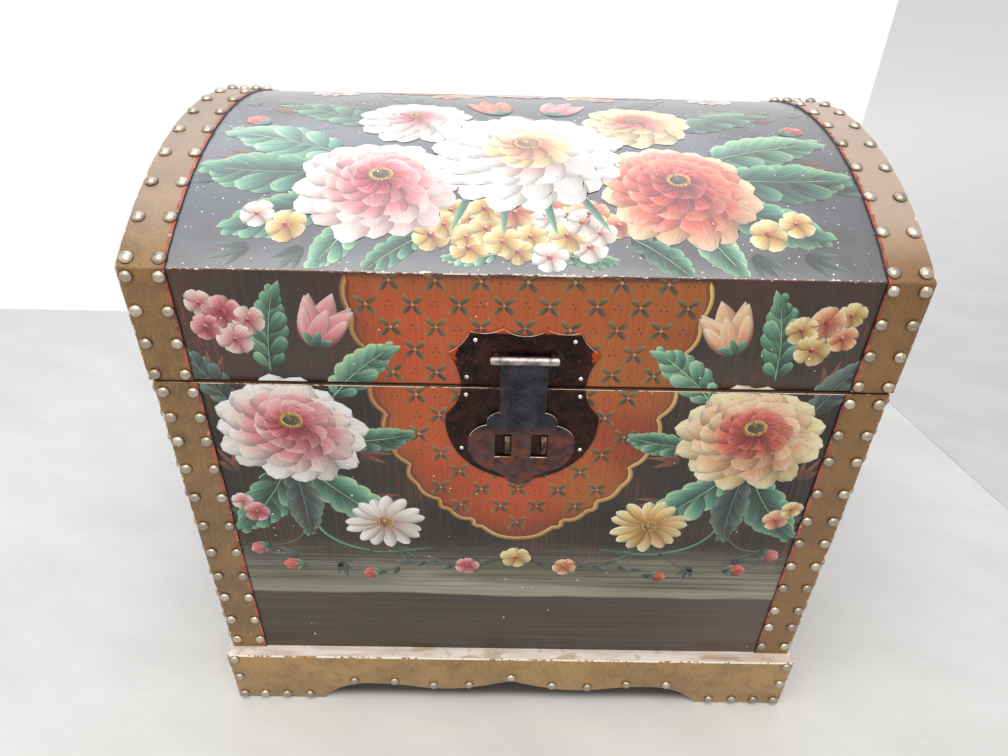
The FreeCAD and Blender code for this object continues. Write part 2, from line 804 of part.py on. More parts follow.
def loop_face(x, front, reach, back, middle, tall):
    """The side view of a loop: a strip's outline with a round nose to the front, square at the back."""
    shoulder = front + reach * STAPLE_NOSE_SHARE
    low = middle - tall / 2
    high = middle + tall / 2
    tip = point(x, front, middle)
    first = point(x, shoulder, high)
    last = point(x, shoulder, low)
    edges = [
        Part.LineSegment(point(x, back, high), first).toShape(),
        Part.Arc(first, tip, last).toShape(),
        Part.LineSegment(last, point(x, back, low)).toShape(),
        Part.LineSegment(point(x, back, low), point(x, back, high)).toShape(),
    ]
    return Part.Face(Part.Wire(edges))


hinge_axis_y = body_back + s.hinge_standoff + s.hinge_knuckle / 2
hinge_axis_z = split + s.lid_gap / 2


def screw_places(side):
    """The screws of one hinge leaf, from the leaf's middle: side is -1 for the body and 1 for the lid."""
    count = int(float(s.hinge_screw_count))
    height = s.hinge_leaf_height * SCREW_HEIGHT_SHARE * side
    return [(s.screw_spacing * (number - (count - 1) / 2), height) for number in range(count)]


def make_hinges():
    """Two butt hinges on the back, each a leaf on the body, a leaf on the lid, a pin and its screws."""
    thick = s.hinge_leaf_thick
    knuckle_y = hinge_axis_y - body_back
    body_bore = s.hinge_pin_diameter + s.seated_clearance * 2
    lid_bore = s.hinge_pin_diameter + s.running_clearance * 2
    hole = s.screw_shank + s.running_clearance * 2
    notch = s.hinge_knuckle / 2 + s.knuckle_gap * 2
    gap_half = s.hinge_middle_knuckle / 2 + s.knuckle_gap
    middle = s.hinge_middle_knuckle
    half_leaf = s.hinge_width / 2
    tall = s.hinge_leaf_height
    for side, across in (("left", -1), ("right", 1)):
        x = s.hinge_spacing / 2 * across

        body = start_body("hinge_leaf_body_" + side, x, body_back, hinge_axis_z)
        holes = [(place, height, hole) for place, height in screw_places(-1)]
        leaf = draw(body, "XZ_Plane", [rectangle(-half_leaf, -tall, s.hinge_width, tall)], holes)
        pad(body, leaf, thick, reverse=True)
        ring = draw(body, "YZ_Plane", [], [(knuckle_y, ZERO, s.hinge_knuckle), (knuckle_y, ZERO, body_bore)])
        pad(body, ring, s.hinge_width, middle=True)
        gap = draw(body, "XZ_Plane", [rectangle(-gap_half, -notch, gap_half * 2, notch * 2)])
        pocket(body, gap, (knuckle_y + s.hinge_knuckle) * 2)

        lid = start_body("hinge_leaf_lid_" + side, x, body_back, hinge_axis_z)
        holes = [(place, height, hole) for place, height in screw_places(1)]
        tab = straight(
            (-middle / 2, ZERO),
            (middle / 2, ZERO),
            (middle / 2, notch),
            (half_leaf, notch),
            (half_leaf, tall),
            (-half_leaf, tall),
            (-half_leaf, notch),
            (-middle / 2, notch),
        )
        pad(lid, draw(lid, "XZ_Plane", [tab], holes), thick, reverse=True)
        ring = draw(lid, "YZ_Plane", [], [(knuckle_y, ZERO, s.hinge_knuckle), (knuckle_y, ZERO, lid_bore)])
        pad(lid, ring, middle, middle=True)

        start = point(x - half_leaf, hinge_axis_y, hinge_axis_z)
        pin = Part.makeCylinder(float(s.hinge_pin_diameter) / 2, float(s.hinge_width), start, Vector(1, 0, 0))
        group("hinge_pin_" + side, [pin])

    screw = nail(s.screw_head, s.screw_head_height, s.screw_shank, s.screw_length)
    for part, half in (("body", -1), ("lid", 1)):
        solids = []
        for across in (-1, 1):
            for place, height in screw_places(half):
                x = s.hinge_spacing / 2 * across + place
                seat = point(x, body_back + thick, hinge_axis_z + height)
                solids.append(driven(screw, seat, Vector(0, 1, 0)))
        group("hinge_screws_" + part, solids)


def check_and_write():
    """Stop on any failed or empty shape, then write one file for each node."""
    doc.recompute()
    for item in doc.Objects:
        if "Invalid" in item.State or "Error" in item.State:
            raise RuntimeError(item.Name + " is " + ", ".join(item.State))
    os.makedirs("parts", exist_ok=True)
    for node in nodes:
        shape = node.Shape
        if shape.isNull() or not shape.isValid() or not shape.Solids:
            raise RuntimeError(node.Label + " has no valid solid")
        shape.exportStep("parts/" + node.Label + ".step")
        print(node.Label, len(shape.Solids), "solids", round(shape.Volume), "mm3")


make_plinth()
make_body()
make_body_bands()
make_body_studs()
make_plinth_studs()
make_lid()
make_lid_bands()
make_lid_studs()
make_lock_plates()
make_hasp()
make_hasp_pin()
make_staples()
make_hinges()
check_and_write()
print("nodes", len(nodes))
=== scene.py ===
"""Looks of a dome-topped dowry chest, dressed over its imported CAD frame.

Lengths are in metres in the frame's own axes: x to the right, y to the back and z up, with the
origin on the floor under the middle of the chest. Sizes inside materials are in millimetres.
"""

import logging
import math
import random
from dataclasses import dataclass
from enum import Enum
from functools import lru_cache
from typing import Callable, Iterator, Sequence

import bmesh
import bpy
import numpy as np
from mathutils import Matrix, Vector, noise


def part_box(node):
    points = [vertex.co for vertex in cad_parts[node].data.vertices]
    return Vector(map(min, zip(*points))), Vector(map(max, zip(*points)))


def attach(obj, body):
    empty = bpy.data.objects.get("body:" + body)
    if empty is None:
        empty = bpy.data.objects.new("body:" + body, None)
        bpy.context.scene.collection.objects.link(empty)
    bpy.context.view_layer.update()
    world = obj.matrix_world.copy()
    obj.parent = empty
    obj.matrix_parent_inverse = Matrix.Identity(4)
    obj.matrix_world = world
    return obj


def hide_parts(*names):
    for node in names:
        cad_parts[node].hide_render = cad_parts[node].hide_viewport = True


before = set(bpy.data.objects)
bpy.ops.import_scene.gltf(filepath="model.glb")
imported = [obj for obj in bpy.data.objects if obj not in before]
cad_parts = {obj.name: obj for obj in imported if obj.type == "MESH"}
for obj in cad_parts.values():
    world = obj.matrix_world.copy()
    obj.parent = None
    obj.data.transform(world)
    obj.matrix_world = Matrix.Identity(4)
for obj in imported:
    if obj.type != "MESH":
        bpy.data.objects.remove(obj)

LOG = logging.getLogger("dowry_chest")
MM = 0.001
Piece = bpy.types.Object
Points = np.ndarray
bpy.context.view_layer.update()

# Places of the chest's own faces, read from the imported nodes

BODY_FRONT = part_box("body_front_board")[0].y
BODY_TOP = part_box("body_front_board")[1].z
LID_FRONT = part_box("lid_front_board")[0].y
LID_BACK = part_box("lid_back_board")[1].y
LID_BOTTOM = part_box("lid_front_board")[0].z
PLINTH_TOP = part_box("plinth_front")[1].z
WOOD_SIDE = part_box("body_front_board")[1].x
LID_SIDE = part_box("lid_front_board")[1].x
DOME_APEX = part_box("lid_dome_panel")[1].z
DOME_MIDDLE = (LID_FRONT + LID_BACK) / 2
HALF_CHORD = (LID_BACK - LID_FRONT) / 2

# The dome's arc, from its apex and the highest point of its panel's front end

NEAR = 0.2 * MM
RIDGE = max(v.co.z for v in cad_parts["lid_dome_panel"].data.vertices if v.co.y < LID_FRONT + NEAR)
DOME_RADIUS = (HALF_CHORD**2 + (DOME_APEX - RIDGE) ** 2) / (2 * (DOME_APEX - RIDGE))
DOME_CENTRE = DOME_APEX - DOME_RADIUS
HALF_ANGLE = math.asin(HALF_CHORD / DOME_RADIUS)
DOME_ARC = 2 * HALF_ANGLE * DOME_RADIUS


def shade(colour: str) -> Points:
    """Returns an sRGB hex colour as three numbers from 0 to 1."""
    return np.array([int(colour[i : i + 2], 16) / 255 for i in (1, 3, 5)])


def to_linear(colours: Points, alpha: float = 1.0) -> Points:
    """Turns rows of sRGB numbers into linear colour, with an alpha."""
    colours = np.clip(colours, 0, 1)
    light = np.where(colours <= 0.04045, colours / 12.92, ((colours + 0.055) / 1.055) ** 2.4)
    return np.column_stack([light, np.full(len(light), alpha)])


def linear(colour: str) -> tuple[float, ...]:
    """Returns an sRGB hex colour as linear red, green, blue and alpha."""
    return tuple(to_linear(shade(colour)[None])[0].tolist())


# Materials

Tree = bpy.types.NodeTree
Socket = bpy.types.NodeSocket
EVEN = (1.0, 1.0, 1.0)


def add(tree: Tree, kind: str, links: dict | None = None, **settings: object) -> list[Socket]:
    """Adds a node to a material, sets it and links it.

    Args:
        tree: The material's nodes.
        kind: Type of the node, without "ShaderNode".
        links: Each socket's value, hex colour or source.
        settings: Properties of the node.

    Returns:
        The node's output sockets.
    """
    node = tree.nodes.new("ShaderNode" + kind)
    for name, value in settings.items():
        setattr(node, name, value)
    for name, value in (links or {}).items():
        socket = node.inputs[name]
        if isinstance(value, bpy.types.NodeSocket):
            tree.links.new(value, socket)
        else:
            socket.default_value = linear(value) if isinstance(value, str) else value
    return list(node.outputs)


class Pattern:
    """Draws a material's patterns in the piece's own Object coordinates."""

    def __init__(self, tree: Tree, turn: float = 0.0) -> None:
        """Takes a node tree, and an angle about z by which its patterns are turned."""
        self.tree = tree
        links = {"Vector": self.add("TexCoord")[3], "Scale": (1000.0,) * 3, "Rotation": (0, 0, turn)}
        self.place = self.add("Mapping", links)[0]

    def add(self, kind: str, links: dict | None = None, **settings: object) -> list[Socket]:
        """Adds a node to this material."""
        return add(self.tree, kind, links, **settings)

    def axis(self, number: int) -> Socket:
        """Returns x, y or z."""
        return self.add("SeparateXYZ", {0: self.place})[number]

    def join(self, operation: str, first: Socket | float, second: Socket | float) -> Socket:
        """Joins two values by an operation."""
        return self.add("Math", {0: first, 1: second}, operation=operation)[0]

    def times(self, first: Socket | float, second: Socket | float) -> Socket:
        """Returns the product of two values."""
        return self.join("MULTIPLY", first, second)

    def plus(self, first: Socket | float, second: Socket | float) -> Socket:
        """Returns the sum of two values."""
        return self.join("ADD", first, second)

    def away(self, value: Socket, middle: float) -> Socket:
        """Returns the distance of a value from a middle."""
        return self.join("ABSOLUTE", self.join("SUBTRACT", value, middle), 0.0)

    def mottle(self, size: float, detail: float = 3.0, run: tuple = EVEN) -> Socket:
        """Draws soft patches.

        Args:
            size: Width of a patch.
            detail: Octaves of finer patches.
            run: How many times longer a patch is along x, y and z.

        Returns:
            A value from about 0.3 to 0.7.
        """
        links = {"Vector": self.place, "Scale": tuple(1 / (size * r) for r in run)}
        links = {"Vector": self.add("Mapping", links)[0], "Scale": 1.0, "Detail": detail, "Roughness": 0.55}
        return self.add("TexNoise", links)[0]

    def sharpen(self, value: Socket, low: float, high: float) -> Socket:
        """Stretches a value between low and high to the whole range from 0 to 1, smoothly."""
        links = {"Value": value, "From Min": low, "From Max": high}
        return self.add("MapRange", links, interpolation_type="SMOOTHSTEP")[0]

    def patches(self, size: float, low: float, high: float, detail: float = 3.0, run: tuple = EVEN,
                share: float = 1.0) -> Socket:
        """Draws patches with clear borders: a mottle sharpened from low to high, up to a share."""
        found = self.sharpen(self.mottle(size, detail, run), low, high)
        return found if share == 1.0 else self.times(found, share)

    def span(self, size: float, low: float, high: float, detail: float = 3.0) -> Socket:
        """Returns a mottle stretched from low to high, for roughness."""
        return self.add("MapRange", {"Value": self.mottle(size, detail), "To Min": low, "To Max": high})[0]

    def blend(self, share: Socket | float, first: Socket | str, second: Socket | str) -> Socket:
        """Lays the second colour over the first by a share from 0 to 1."""
        return self.add("Mix", {0: share, 6: first, 7: second}, data_type="RGBA")[2]

    def lay(self, base: Socket | str, *layers: tuple) -> Socket:
        """Lays colours over a base, each given as its hex colour and the arguments of its patches."""
        for colour, *patch in layers:
            base = self.blend(self.patches(*patch), base, colour)
        return base

    def dust(self, spacing: float, size: float, keep: float) -> Socket:
        """Draws pale specks of dust, scattered unevenly.

        Args:
            spacing: Distance between possible specks.
            size: Widest speck's radius.
            keep: Share of the places left bare.

        Returns:
            1 on a speck and 0 beside it.
        """
        scaled = self.add("Mapping", {"Vector": self.place, "Scale": (1 / spacing,) * 3})[0]
        cell = self.add("TexVoronoi", {"Vector": scaled, "Scale": 1.0})
        lot = self.add("SeparateColor", {0: cell[1]})[0]
        chosen = self.join("SUBTRACT", self.plus(lot, self.mottle(45.0, 1.0)), keep + 0.5)
        inside = self.join("SUBTRACT", self.times(chosen, size / spacing / (1 - keep)), cell[0])
        return self.sharpen(inside, 0.0, 0.12 / spacing)

    def worn(self, away: Socket, ragged: Socket, reach: float, soft: float) -> Socket:
        """Returns 1 where the distance from an edge is less than a ragged share of a reach."""
        return self.sharpen(self.join("SUBTRACT", self.times(ragged, reach), away), 0.0, soft)

    def relief(self, height: Socket, depth: float, strength: float = 1.0) -> Socket:
        """Turns a height from 0 to 1 into a bump of a depth, kept in part; returns the normal."""
        return self.add("Bump", {"Height": height, "Distance": depth * MM, "Strength": strength})[0]


@dataclass(frozen=True)
class Finish:
    """A material of one real surface, named for it and for how it was made."""

    name: str

    def colour(self, p: Pattern) -> Socket:
        """Returns the colour pattern."""
        raise NotImplementedError

    def surface(self, p: Pattern) -> dict:
        """Returns the shader's other sockets, linked or constant."""
        return {}

    def shader(self, tree: Tree) -> Socket:
        """Returns the shader."""
        p = Pattern(tree)
        return add(tree, "BsdfPrincipled", {"Base Color": self.colour(p), **self.surface(p)})[0]

    def material(self) -> bpy.types.Material:
        """Makes the material, or returns it if it is already made."""
        made = bpy.data.materials.get(self.name)
        if not made:
            made = bpy.data.materials.new(self.name)
            made.use_nodes = True
            made.node_tree.nodes.clear()
            add(made.node_tree, "OutputMaterial", {"Surface": self.shader(made.node_tree)})
        return made


def varnish(weight: float) -> dict:
    """Returns the shader's sockets for an old satin varnish of a weight."""
    return {"Coat Weight": weight, "Coat Roughness": 0.26, "Coat IOR": 1.62}


@dataclass(frozen=True)
class VarnishedGround(Finish):
    """Oil ground brushed on gessoed boards and varnished: near black, with red rubbed through."""

    table: bool = False  # whether the grey-green ledge is painted on it
    chipped: tuple = ()  # axis, place and reach of a chipped edge
    streaked: tuple = (1.0, 1.0, 40.0)  # how much longer brush marks run along x, y and z
    dark: str = "#150E09"  # colour of darker clouds
    light: str = "#2D2216"  # colour of lighter clouds
    red: float = 0.8  # share of red streaks
    clean: float = 0.62  # share of places without dust
    gloss: float = 0.15  # weight of the varnish
    spacing: float = 6.5  # distance between places for dust
    shine: float = 0.5  # specular level of the paint
    cloud: str = ""  # colour of worn clouds, or nothing
    mist: tuple[float, float] = (184.0, 138.0)  # heights between which the ledge sets in
    pale: tuple[float, float] = (136.0, 127.0)  # heights between which it pales
    foot: tuple[float, float] = (124.0, 121.5)  # heights between which the dark band under it sets in

    def colour(self, p: Pattern) -> Socket:
        """Returns brown-black paint, its rubbed streaks, painted ledge, dust and chips."""
        ground = p.lay(self.dark, (self.light, 60.0, 0.35, 0.68),
                       ("#5A4430", 1.1, 0.48, 0.75, 3.0, self.streaked, 0.4))
        rubbed = p.times(p.patches(60.0, 0.52, 0.66, 2.0), p.patches(1.5, 0.5, 0.7, 2.0, self.streaked))
        ground = p.blend(p.times(rubbed, self.red), ground, "#8A3418")
        if self.cloud:
            ground = p.lay(ground, (self.cloud, 42.0, 0.47, 0.62, 4.0, EVEN, 0.62))
        if self.table:
            ground = self.painted_ledge(p, ground)
        ground = p.blend(p.dust(self.spacing, 0.58, self.clean), ground, "#F4F0EA")
        if self.chipped:
            axis, line, reach = self.chipped
            gone = p.worn(p.away(p.axis(axis), line), p.patches(2.4, 0.44, 0.72, 4.0), reach, 0.15)
            ground = p.blend(gone, ground, p.lay("#F1E9DF", ("#DDB8A6", 3.0, 0.4, 0.6)))
        return ground

    def painted_ledge(self, p: Pattern, ground: Socket) -> Socket:
        """Returns the ground with a misty grey-green ledge and a dark band along its foot."""
        level = p.plus(p.axis(2), p.times(p.mottle(90.0, 2.0, (1, 1, 0.3)), 10.0))
        drag = p.patches(2.2, 0.3, 0.72, 3.0, (50.0, 1.0, 1.0))
        wide = p.patches(55.0, 0.35, 0.68, 2.0, (2.0, 1.0, 0.5))
        mist = p.blend(drag, p.blend(wide, "#5E5C4C", "#7C7966"), p.blend(wide, "#84806C", "#AAA592"))
        share = p.times(p.sharpen(level, *self.mist), p.plus(p.times(drag, 0.35), 0.62))
        ground = p.blend(share, ground, mist)
        ground = p.blend(p.times(p.sharpen(level, *self.pale), 0.45), ground, "#ACA794")
        right = p.times(p.sharpen(p.axis(0), 90.0, 170.0), 0.35)
        foot = p.blend(right, p.blend(drag, "#362B23", "#4C4035"), "#6E5848")
        return p.blend(p.sharpen(level, *self.foot), ground, foot)

    def surface(self, p: Pattern) -> dict:
        """Returns a satin varnish with brush marks in it."""
        marks = p.relief(p.mottle(1.3, 3.0, self.streaked), 0.04, 0.6)
        rough = p.span(22.0, 0.28, 0.44)
        return {"Roughness": rough, "Specular IOR Level": self.shine, "Normal": marks, **varnish(self.gloss)}


@dataclass(frozen=True)
class Leathercloth(Finish):
    """Embossed leathercloth, bronzed by brush and varnished: a mottled gold-brown."""

    dark: str = "#735224"  # colour of darker clouds
    light: str = "#90682E"  # colour of lighter clouds
    brushed: str = "#AC8445"  # colour of bronze left by the brush
    pebble: float = 0.9  # width of a pebble, the finest that shows; real ones are about 0.6 mm

    def colour(self, p: Pattern) -> Socket:
        """Returns gold-brown with darker pores, olive shadows and rubbed high spots."""
        base = p.lay(self.dark, (self.light, 28.0, 0.34, 0.68),
                     (self.brushed, 1.0, 0.45, 0.7, 4.0, (1.0, 1.0, 9.0), 0.45),
                     ("#4A3410", 1.0, 0.5, 0.64, 3.0, EVEN, 0.55),
                     ("#54401C", 10.0, 0.52, 0.68, 3.0, EVEN, 0.32))
        return p.blend(p.dust(6.0, 0.45, 0.72), base, "#E9DFC9")

    def surface(self, p: Pattern) -> dict:
        """Returns a satin sheen over a fine pebbled grain."""
        scale = {"Vector": p.place, "Scale": 1 / self.pebble}
        pebbles = p.add("TexVoronoi", scale, feature="SMOOTH_F1")[0]
        height = p.plus(p.times(pebbles, 0.6), p.mottle(3.5))
        rest = {"Coat Weight": 0.5, "Coat Roughness": 0.36}
        return {"Roughness": p.span(6.0, 0.34, 0.58), "Normal": p.relief(height, 0.12, 0.7), **rest}


@dataclass(frozen=True)
class BandLeathercloth(Leathercloth):
    """The same in strips, with a red size line on the inner edge, a rubbed fold and painted glare over the
    lid.

    It reads the strip's attribute: millimetres from the inner edge, then along the strip.
    """

    fold: float = 26.5  # place of the fold across the strip
    dome_glare: float = 0.0  # strength of the painted glare on the part over the lid, from 0 to 1

    def colour(self, p: Pattern) -> Socket:
        """Returns the leathercloth with its edges' red line, a dark joint with painted contact shadow, pale
        rubbing and, over the lid, painted glare.
        """
        right = p.sharpen(p.axis(0), -40.0, 120.0)
        base = p.blend(p.times(right, 0.42), super().colour(p), "#7E4E06")
        # Painted glare: above the ridge the strip is blended toward pale pinkish grey, more so toward the
        # right.
        if self.dome_glare:
            share = p.times(p.plus(right, 1.6), self.dome_glare * 0.62)
            glare_share = p.times(p.sharpen(p.axis(2), RIDGE / MM + 2, RIDGE / MM + 22), share)
            base = p.blend(glare_share, base, "#CDBBAE")
        across = p.add("SeparateXYZ", {0: p.add("Attribute", attribute_name="strip")[1]})[0]
        edge = p.plus(across, p.times(p.plus(p.mottle(4.0, 4.0), -0.5), 5.0))
        red = p.lay("#7A2412", ("#B8471E", 7.0, 0.4, 0.6, 4.0), ("#D9A084", 3.0, 0.6, 0.68, 4.0))
        base = p.blend(p.sharpen(edge, 2.5, 1.5), base, red)
        # Dark joint and painted contact shadow: a dark line just inside the strip's inner edge, where it
        # stands off the wood.
        base = p.blend(p.sharpen(across, 0.42, 0.2), base, "#2B1610")
        rubbed = p.worn(p.away(across, self.fold), p.patches(6.0, 0.38, 0.7, 4.0), 2.0, 0.3)
        return p.blend(rubbed, base, p.lay("#E8D6B8", ("#D99C80", 11.0, 0.42, 0.6)))


@dataclass(frozen=True)
class GlareLedge(Finish):
    """Top edge of the plinth, painted pale beige as the glare on its upward faces, with gold showing in
    patches.
    """

    def colour(self, p: Pattern) -> Socket:
        """Returns pinkish beige painted glare with brush marks, gold left in patches and grime."""
        return p.lay("#D2BEAE", ("#EEE1D6", 1.4, 0.35, 0.7, 4.0, (30.0, 4.0, 1.0)),
                     ("#A5854F", 14.0, 0.56, 0.64, 4.0, (3.0, 1.0, 1.0), 0.55),
                     ("#94806B", 9.0, 0.56, 0.72, 3.0, EVEN, 0.45))

    def surface(self, p: Pattern) -> dict:
        """Returns a dull, lightly ribbed surface."""
        return {"Roughness": 0.62, "Normal": p.relief(p.mottle(1.4, 4.0, (30.0, 4.0, 1.0)), 0.1, 0.6)}


@dataclass(frozen=True)
class ChippedEdge(Finish):
    """Arris of a board whose paint and gesso have chipped off: cream with paint between."""

    paint: str = "#2E2420"  # colour of the paint that is left
    bare: str = "#E6D6C4"  # colour that shows where it is gone
    lost: float = 0.5  # share that is gone, from 0 to 1
    reach: float = 0.0  # half length of the most worn stretch, or 0 for even wear

    def colour(self, p: Pattern) -> Socket:
        """Returns chips of two lengths over the paint, with a rusty rim."""
        level = 0.66 - 0.26 * self.lost
        patches = p.plus(p.times(p.mottle(26.0, 2.0), 0.5), p.times(p.mottle(3.2, 4.0), 0.5))
        if self.reach:
            wear = p.sharpen(p.away(p.axis(0), -25.0), self.reach + 60.0, self.reach)
            patches = p.plus(patches, p.times(wear, 0.09))
        rim = p.blend(p.sharpen(patches, level - 0.05, level), self.paint, "#9A5B42")
        return p.blend(p.sharpen(patches, level, level + 0.03), rim, self.bare)

    def surface(self, p: Pattern) -> dict:
        """Returns a rough, uneven break."""
        return {"Roughness": 0.55, "Normal": p.relief(p.mottle(1.5), 0.25, 0.8)}


@dataclass(frozen=True)
class BareBoard(Finish):
    """Planed mango wood, unpainted and browned by age."""

    run: tuple = (18.0, 1.0, 1.0)  # how much longer the grain runs along x, y and z
    light: str = "#A5815A"  # colour of pale rings
    dark: str = "#84613D"  # colour of dark rings

    def colour(self, p: Pattern) -> Socket:
        """Returns long wavy rings with fine pores and a few stains."""
        return p.lay(self.dark, (self.light, 5.0, 0.34, 0.68, 4.0, self.run),
                     ("#543A20", 0.9, 0.55, 0.7, 3.0, self.run, 0.55),
                     ("#6B4D30", 48.0, 0.5, 0.7, 3.0, EVEN, 0.4))

    def surface(self, p: Pattern) -> dict:
        """Returns a dull wood surface with open pores."""
        return {"Roughness": 0.68, "Normal": p.relief(p.mottle(0.9, 3.0, self.run), 0.12, 0.7)}


@dataclass(frozen=True)
class DomedStud(Finish):
    """Nickelled brass stud, pressed and tarnished: pewter with a warm cast and a foot darkened by tarnish and
    painted shade.

    It reads the studs' attributes: height on the head from 0 to 1, and a lot drawn per stud.
    """

    def colour(self, p: Pattern) -> Socket:
        """Returns worn nickel with tarnish and painted shade gathered at the foot."""
        base = p.blend(p.add("Attribute", attribute_name="stud_lot")[2], "#9C9182", "#C9BDAA")
        base = p.lay(base, ("#8A7450", 1.6, 0.5, 0.66, 4.0, EVEN, 0.5))
        # Tarnish and painted shade: the head darkens toward its foot, where it meets the leathercloth.
        rise = p.plus(p.add("Attribute", attribute_name="stud_rise")[2], p.times(p.mottle(2.0), 0.3))
        return p.blend(p.times(p.sharpen(rise, 0.5, 0.2), 0.85), base, "#3E3222")

    def surface(self, p: Pattern) -> dict:
        """Returns dull metal with small dents."""
        dents = p.relief(p.mottle(2.2), 0.25, 0.6)
        return {"Metallic": 1.0, "Roughness": p.span(1.8, 0.18, 0.4), "Normal": dents}


@dataclass(frozen=True)
class BronzedIron(Finish):
    """Sheet iron, blackened in oil and bronzed, with rust coming through: brown-black."""

    dark: str = "#190B0C"  # colour of the blackened skin
    light: str = "#2E1614"  # colour of its thinner parts
    rust: float = 0.12  # share of rusty mottling
    foot: float = 0.0  # height below which rust takes over, or 0
    overpaint: float = 0.0  # height above which the panel's red runs over it, or 0
    wings: tuple[float, float] = (42.5, 322.0)  # half width and height from which it does so too

    def colour(self, p: Pattern) -> Socket:
        """Returns blackened iron with violet and rusty clouds."""
        base = p.lay(self.dark, (self.light, 9.0, 0.36, 0.66, 4.0))
        rusty = p.patches(8.0, 0.46, 0.62, 4.0)
        if self.foot:
            low = p.sharpen(p.plus(p.axis(2), p.times(rusty, 6.0)), self.foot + 6, self.foot - 4)
            base = p.blend(low, base, p.lay("#5A4244", ("#4A3230", 5.0, 0.4, 0.62)))
            rusty = p.times(rusty, low)
        base = p.blend(p.times(rusty, self.rust), base, "#7A4227")
        base = p.lay(base, ("#7E7572", 1.4, 0.58, 0.7, 4.0, EVEN, 0.25))
        if self.overpaint:
            level = p.plus(p.axis(2), p.times(p.mottle(3.0), 4.0))
            ragged = p.plus(p.away(p.axis(0), 0.0), p.times(p.mottle(4.0, 4.0), 9.0))
            wide, high = self.wings
            wing = p.times(p.sharpen(ragged, wide, wide + 1.0), p.sharpen(p.axis(2), high, high + 3.0))
            covered = p.join("MAXIMUM", p.sharpen(level, self.overpaint, self.overpaint + 0.8), wing)
            base = p.blend(covered, base, "#B5451C")
        return base

    def surface(self, p: Pattern) -> dict:
        """Returns half-matt metal, duller in the rust."""
        normal = p.relief(p.mottle(2.0, 4.0), 0.08, 0.6)
        rough = p.span(5.0, 0.22, 0.42, 4.0)
        return {"Metallic": 0.5, "Specular IOR Level": 0.25, "Roughness": rough, "Normal": normal}


@dataclass(frozen=True)
class BrightMetal(Finish):
    """Turned or cut metal, rubbed bright by use and dulled between."""

    bright: str = "#B7AB9A"  # colour of the rubbed metal
    dull: str = "#5B4C40"  # colour of its tarnish
    spots: float = 2.5  # width of a tarnish spot

    def colour(self, p: Pattern) -> Socket:
        """Returns bright metal with tarnish spots."""
        return p.lay(self.bright, (self.dull, self.spots, 0.46, 0.64, 4.0))

    def surface(self, p: Pattern) -> dict:
        """Returns metal with a roughness that follows the tarnish."""
        rough = p.span(self.spots, 0.2, 0.5)
        return {"Metallic": 1.0, "Roughness": rough, "Normal": p.relief(p.mottle(1.5), 0.06, 0.5)}


@dataclass(frozen=True)
class BrushedOil(Finish):
    """Artist's oil paint in single loaded strokes, varnished: streaked along each stroke.

    It reads the strokes' attributes: loaded colour, then millimetres along and across.
    """

    gloss: float = 0.12  # weight of the varnish

    def colour(self, p: Pattern) -> Socket:
        """Returns the loaded colour, streaked by the bristles, with dust on the varnish."""
        loaded = p.add("Attribute", attribute_name="paint")
        dark = p.blend(p.times(loaded[3], 0.2), loaded[0], "#2A1408")
        pale = p.blend(p.times(loaded[3], 0.07), loaded[0], "#FFFFFF")
        mixed = p.blend(p.sharpen(self.bristles(p), 0.32, 0.7), dark, pale)
        return p.blend(p.dust(5.4, 0.55, 0.52), mixed, "#FBF9F5")

    def bristles(self, p: Pattern) -> Socket:
        """Returns bristle marks about 0.8 mm wide and 24 mm long, along the stroke."""
        marks = p.add("Attribute", attribute_name="brush")[1]
        scaled = p.add("Mapping", {"Vector": marks, "Scale": (1 / 24, 1 / 0.8, 1.0)})[0]
        return p.add("TexNoise", {"Vector": scaled, "Scale": 1.0, "Detail": 3.0, "Roughness": 0.6})[0]

    def surface(self, p: Pattern) -> dict:
        """Returns the varnish over ridges left by the bristles."""
        ridges = p.relief(self.bristles(p), 0.07, 0.5)
        return {"Roughness": 0.36, "Specular IOR Level": 0.35, "Normal": ridges, **varnish(self.gloss)}


@dataclass(frozen=True)
class PaleFloor(Finish):
    """Floor boards under worn pale grey paint."""

    dark: str = "#D5D4D2"  # colour of greyer patches
    light: str = "#DDDCDA"  # colour of paler ones
    far: str = ""  # colour toward which the far end is painted paler, as painted light on a wall, or nothing
    foot: tuple[float, float] = (205.0, 155.0)  # half width and half depth of the painted shadow under the chest

    def colour(self, p: Pattern) -> Socket:
        """Returns pale grey with faint scuffs, a far end painted paler as light on a wall if asked, and a
        painted shadow under the chest.
        """
        turned = Pattern(p.tree, 0.35)
        base = turned.lay(self.dark, (self.light, 60.0, 0.3, 0.7, 4.0, (2.0, 1.0, 1.0)),
                          ("#EAE9E8", 6.0, 0.6, 0.72, 5.0, (5.0, 1.0, 1.0), 0.25),
                          ("#B5AFA9", 9.0, 0.66, 0.76, 5.0, EVEN, 0.3))
        # Painted light: the far end is blended paler, so that the flat strip reads as a wall lit from above.
        if self.far:
            return p.blend(p.sharpen(p.axis(1), 200.0, 1500.0), base, self.far)
        # Painted shadow: the floor is darkened to near black under the chest, where the plinth keeps the
        # light off.
        covered = 0.8
        for axis, half in enumerate(self.foot):
            covered = p.times(p.sharpen(p.away(p.axis(axis), 0.0), half + 4.0, half - 4.0), covered)
        return p.blend(covered, base, "#2E2A27")

    def surface(self, p: Pattern) -> dict:
        """Returns a dull satin paint."""
        return {"Roughness": 0.6, "Specular IOR Level": 0.3}


